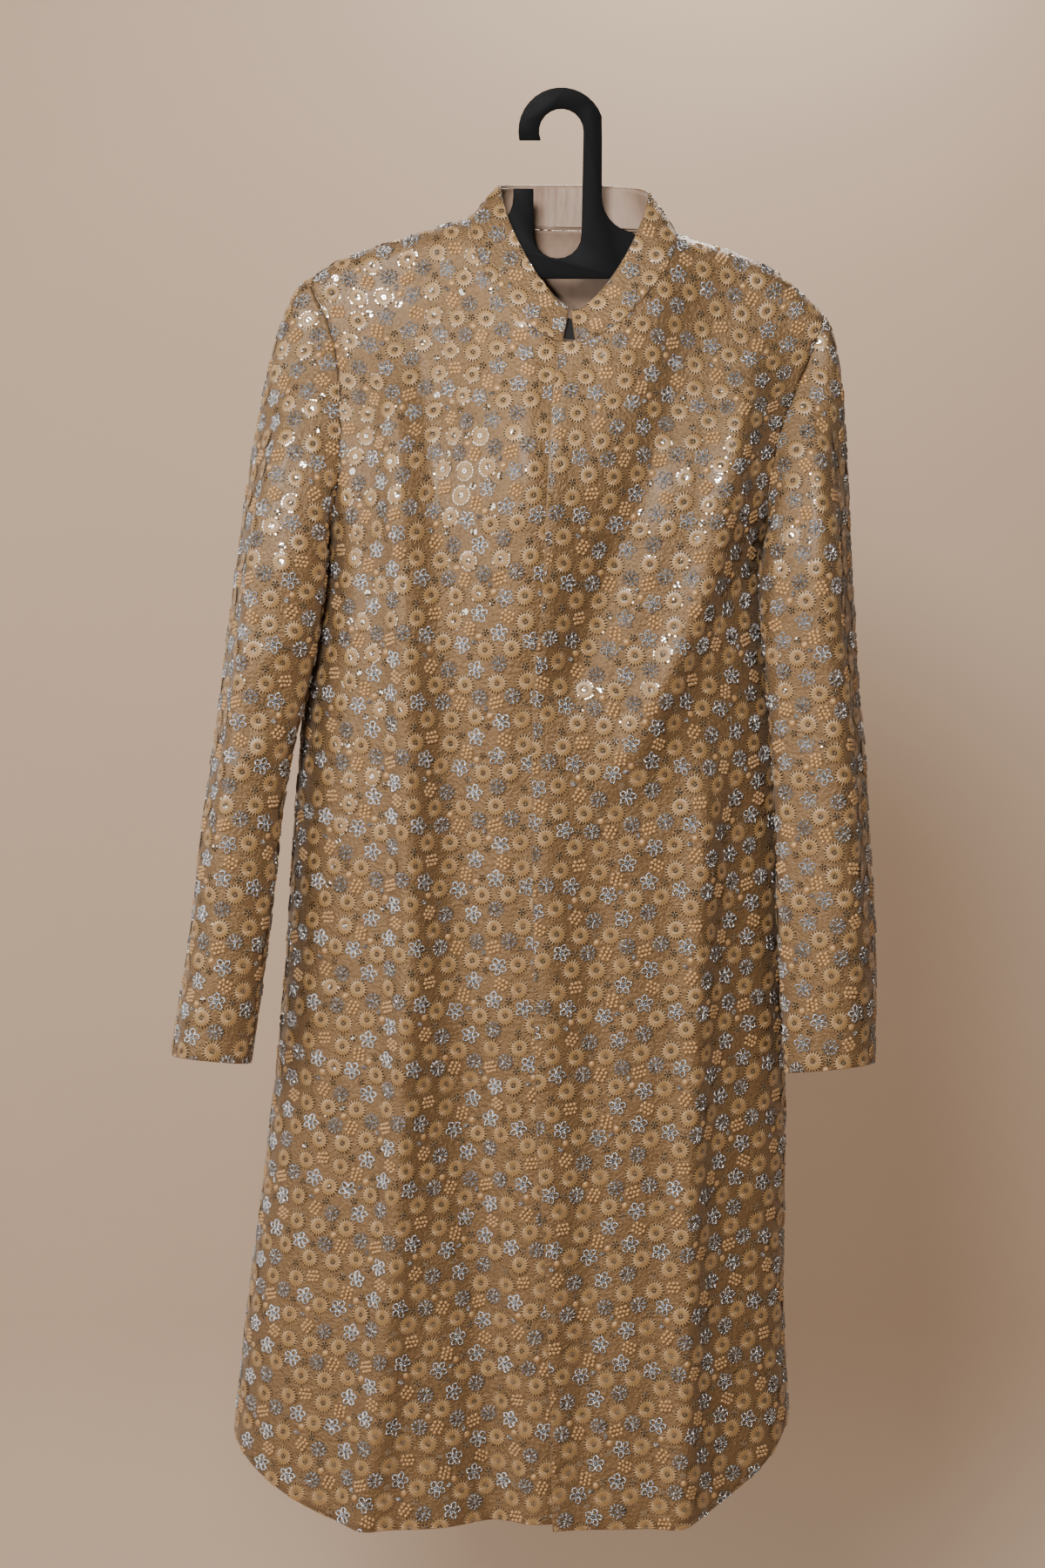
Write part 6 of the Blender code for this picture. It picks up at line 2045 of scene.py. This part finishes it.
class COAT_OT_linings(bpy.types.Operator):
    """Satin lining of the collar and of the back of the neck, and the tab behind the collar's ends, coloured near black
    as painted shade
    """
    bl_idname = "coat.linings"
    bl_label = "Linings"

    def execute(self, context):
        angles = collar_columns()
        outer = collar_grid(angles, COLLAR_HEIGHTS, 0.0)
        inner = collar_grid(angles, COLLAR_HEIGHTS, WALL)
        add_lining_cloth("collar_lining_cloth", outer, inner, COLLAR_LINING_DRAW, "collar_lining", collar_gathers)
        angle, z = back_panel(BACK_COLUMNS, YOKE_ROWS, BODY_ROWS)
        neck = len(back_neck_columns(BACK_COLUMNS))
        first = (BACK_COLUMNS + 1 - neck) // 2 + 1
        patch = (slice(0, NECK_LINING_ROWS), slice(first, first + neck - 2))
        outer = body_point(angle[patch], z[patch], 0.0, True)
        inner = body_point(angle[patch], z[patch], WALL, True)
        add_lining_cloth("back_neck_lining_cloth", outer, inner, NECK_LINING_DRAW, "back_neck_lining", neck_gathers)
        # The tab behind the collar's ends is a facing piece whose near-black finish is painted shade of the gap there.
        columns = collar_columns()
        tab = columns[:FACING_COLUMNS][::-1] + columns[-FACING_COLUMNS:][::-1]
        depth = WALL + LINING_WALL + FACING_CLEARANCE
        near = collar_grid(tab, FACING_HEIGHTS, depth)
        far = collar_grid(tab, FACING_HEIGHTS, depth + LINING_WALL)
        lengths = measure(near, len(tab) // 2)
        shell = add_shell("placket_facing_cloth", near, far, lengths, [look_of("facing_cloth")] * 2,
                          ("top", "bottom", "first", "last"))
        finish_piece(shell, "placket_facing")
        declare_cloth(shell, near)
        return {"FINISHED"}


class COAT_OT_hanger(bpy.types.Operator):
    """Flat hanger with eased edges"""
    bl_idname = "coat.hanger"
    bl_label = "Hanger"

    def execute(self, context):
        outline = hanger_outline()
        count = len(outline)
        points = [(x, -PLATE / 2, z) for x, z in outline] + [(x, PLATE / 2, z) for x, z in outline]
        faces = [tuple(range(count)), tuple(reversed(range(count, 2 * count)))]
        for i in range(count):
            j = (i + 1) % count
            faces.append((i, count + i, count + j, j))
        if signed_volume(np.array(points), faces) < 0:
            faces = [tuple(reversed(face)) for face in faces]
        plate = make_mesh("hanger_plate", points, faces, [look_of("hanger_plastic")])
        bevel = plate.modifiers.new("Eased edges", "BEVEL")
        bevel.width = HANGER_EASE
        bevel.segments = 3
        bevel.limit_method = "ANGLE"
        bevel.angle_limit = math.radians(50.0)
        bpy.context.view_layer.update()
        eased = bpy.data.meshes.new_from_object(plate.evaluated_get(bpy.context.evaluated_depsgraph_get()))
        plate.modifiers.remove(bevel)
        plate.data = eased
        plate.data.shade_smooth()
        plate.data.set_sharp_from_angle(angle=math.radians(40.0))
        finish_piece(plate, "hanger")
        return {"FINISHED"}


# ---------------------------------------------------------------- studio
def aim(thing, target):
    away = mathutils.Vector(target) - thing.location
    thing.rotation_euler = away.to_track_quat("-Z", "Y").to_euler()


def add_light(name, place, target, size, power, colour, cone=None):
    """Round soft light, or a spot where a cone is given."""
    data = bpy.data.lights.new(name, "AREA" if cone is None else "SPOT")
    if cone is None:
        data.shape = "DISK"
        data.size = size
    else:
        data.shadow_soft_size = size / 2
        data.spot_size = cone
        data.spot_blend = 1.0
    data.energy = power
    data.color = colour
    light = bpy.data.objects.new(name, data)
    bpy.context.scene.collection.objects.link(light)
    light.location = place
    aim(light, target)
    return light


class COAT_OT_studio(bpy.types.Operator):
    """Camera, lights, floor and wall"""
    bl_idname = "coat.studio"
    bl_label = "Studio"

    def execute(self, context):
        scene = bpy.context.scene
        settings = scene.coat_studio
        lens = bpy.data.cameras.new("camera")
        lens.lens = 74.66
        lens.sensor_fit = "VERTICAL"
        lens.sensor_height = 36.0
        camera = bpy.data.objects.new("camera", lens)
        scene.collection.objects.link(camera)
        camera.location = CAMERA_PLACE
        camera.rotation_euler = (math.radians(83.0), 0.0, 0.0)
        scene.camera = camera
        add_light("key", (-0.45, -2.25, 0.80), (-0.06, 0.0, -0.40), 0.70, settings.key_power, (1.0, 0.97, 0.94))
        add_light("side", (-1.80, -0.98, 0.05), (-0.10, 0.0, -0.40), 1.20, settings.side_power, (1.0, 0.97, 0.94))
        add_light("neck", (-0.10, -1.60, -0.22), (0.0, 0.03, -0.190), 0.08, settings.neck_power, (1.0, 0.95, 0.90),
                  math.radians(8.5))
        add_light("back", (0.25, 1.00, 0.75), (0.0, 0.0, -0.60), 0.60, settings.back_power, (1.0, 0.97, 0.94))
        world = bpy.data.worlds.new("surround")
        world.use_nodes = True
        world.node_tree.nodes["Background"].inputs["Color"].default_value = (1.0, 0.86, 0.72, 1.0)
        world.node_tree.nodes["Background"].inputs["Strength"].default_value = settings.air
        scene.world = world
        profile = [(-4.0, FLOOR_Z), (WALL_Y - WALL_CURVE, FLOOR_Z)]
        for k in range(1, 13):
            turn = 0.5 * math.pi * k / 12
            profile.append((WALL_Y - WALL_CURVE + WALL_CURVE * math.sin(turn),
                            FLOOR_Z + WALL_CURVE - WALL_CURVE * math.cos(turn)))
        profile.append((WALL_Y, 2.6))
        points = [(x, y, z) for y, z in profile for x in (-4.5, 4.5)]
        faces = [(2 * k, 2 * k + 1, 2 * k + 3, 2 * k + 2) for k in range(len(profile) - 1)]
        sweep = make_mesh("studio_sweep", points, faces, [look_of("studio_wall")])
        return {"FINISHED"}


class COAT_PT_panel(bpy.types.Panel):
    """The coat's pieces and settings"""
    bl_label = "Coat"
    bl_idname = "COAT_PT_panel"
    bl_space_type = "VIEW_3D"
    bl_region_type = "UI"
    bl_category = "Coat"

    def draw(self, context):
        column = self.layout.column()
        for group in (context.scene.coat_embroidery, context.scene.coat_cloth, context.scene.coat_studio):
            for name in group.__annotations__:
                column.prop(group, name)
        for operator in OPERATORS:
            column.operator(operator.bl_idname)


OPERATORS = (
    COAT_OT_front_right, COAT_OT_front_left, COAT_OT_back, COAT_OT_sleeves, COAT_OT_collar,
    COAT_OT_linings, COAT_OT_hanger, COAT_OT_studio,
)
GROUPS = (EmbroiderySettings, ClothSettings, StudioSettings)


def register():
    for kind in GROUPS + OPERATORS + (COAT_PT_panel,):
        bpy.utils.register_class(kind)
    bpy.types.Scene.coat_embroidery = PointerProperty(type=EmbroiderySettings)
    bpy.types.Scene.coat_cloth = PointerProperty(type=ClothSettings)
    bpy.types.Scene.coat_studio = PointerProperty(type=StudioSettings)


def unregister():
    del bpy.types.Scene.coat_studio
    del bpy.types.Scene.coat_cloth
    del bpy.types.Scene.coat_embroidery
    for kind in reversed(GROUPS + OPERATORS + (COAT_PT_panel,)):
        bpy.utils.unregister_class(kind)


def main():
    register()
    bpy.ops.coat.front_right()
    bpy.ops.coat.front_left()
    bpy.ops.coat.back()
    bpy.ops.coat.sleeves()
    bpy.ops.coat.collar()
    bpy.ops.coat.linings()
    bpy.ops.coat.hanger()
    bpy.ops.coat.studio()
    remove_motifs()
    for name, (width, length, area) in FLAT_CUTS.items():
        print("cut %s: %.3f x %.3f m, %.3f m2" % (name, width, length, area))


if __name__ == "__main__":
    main()
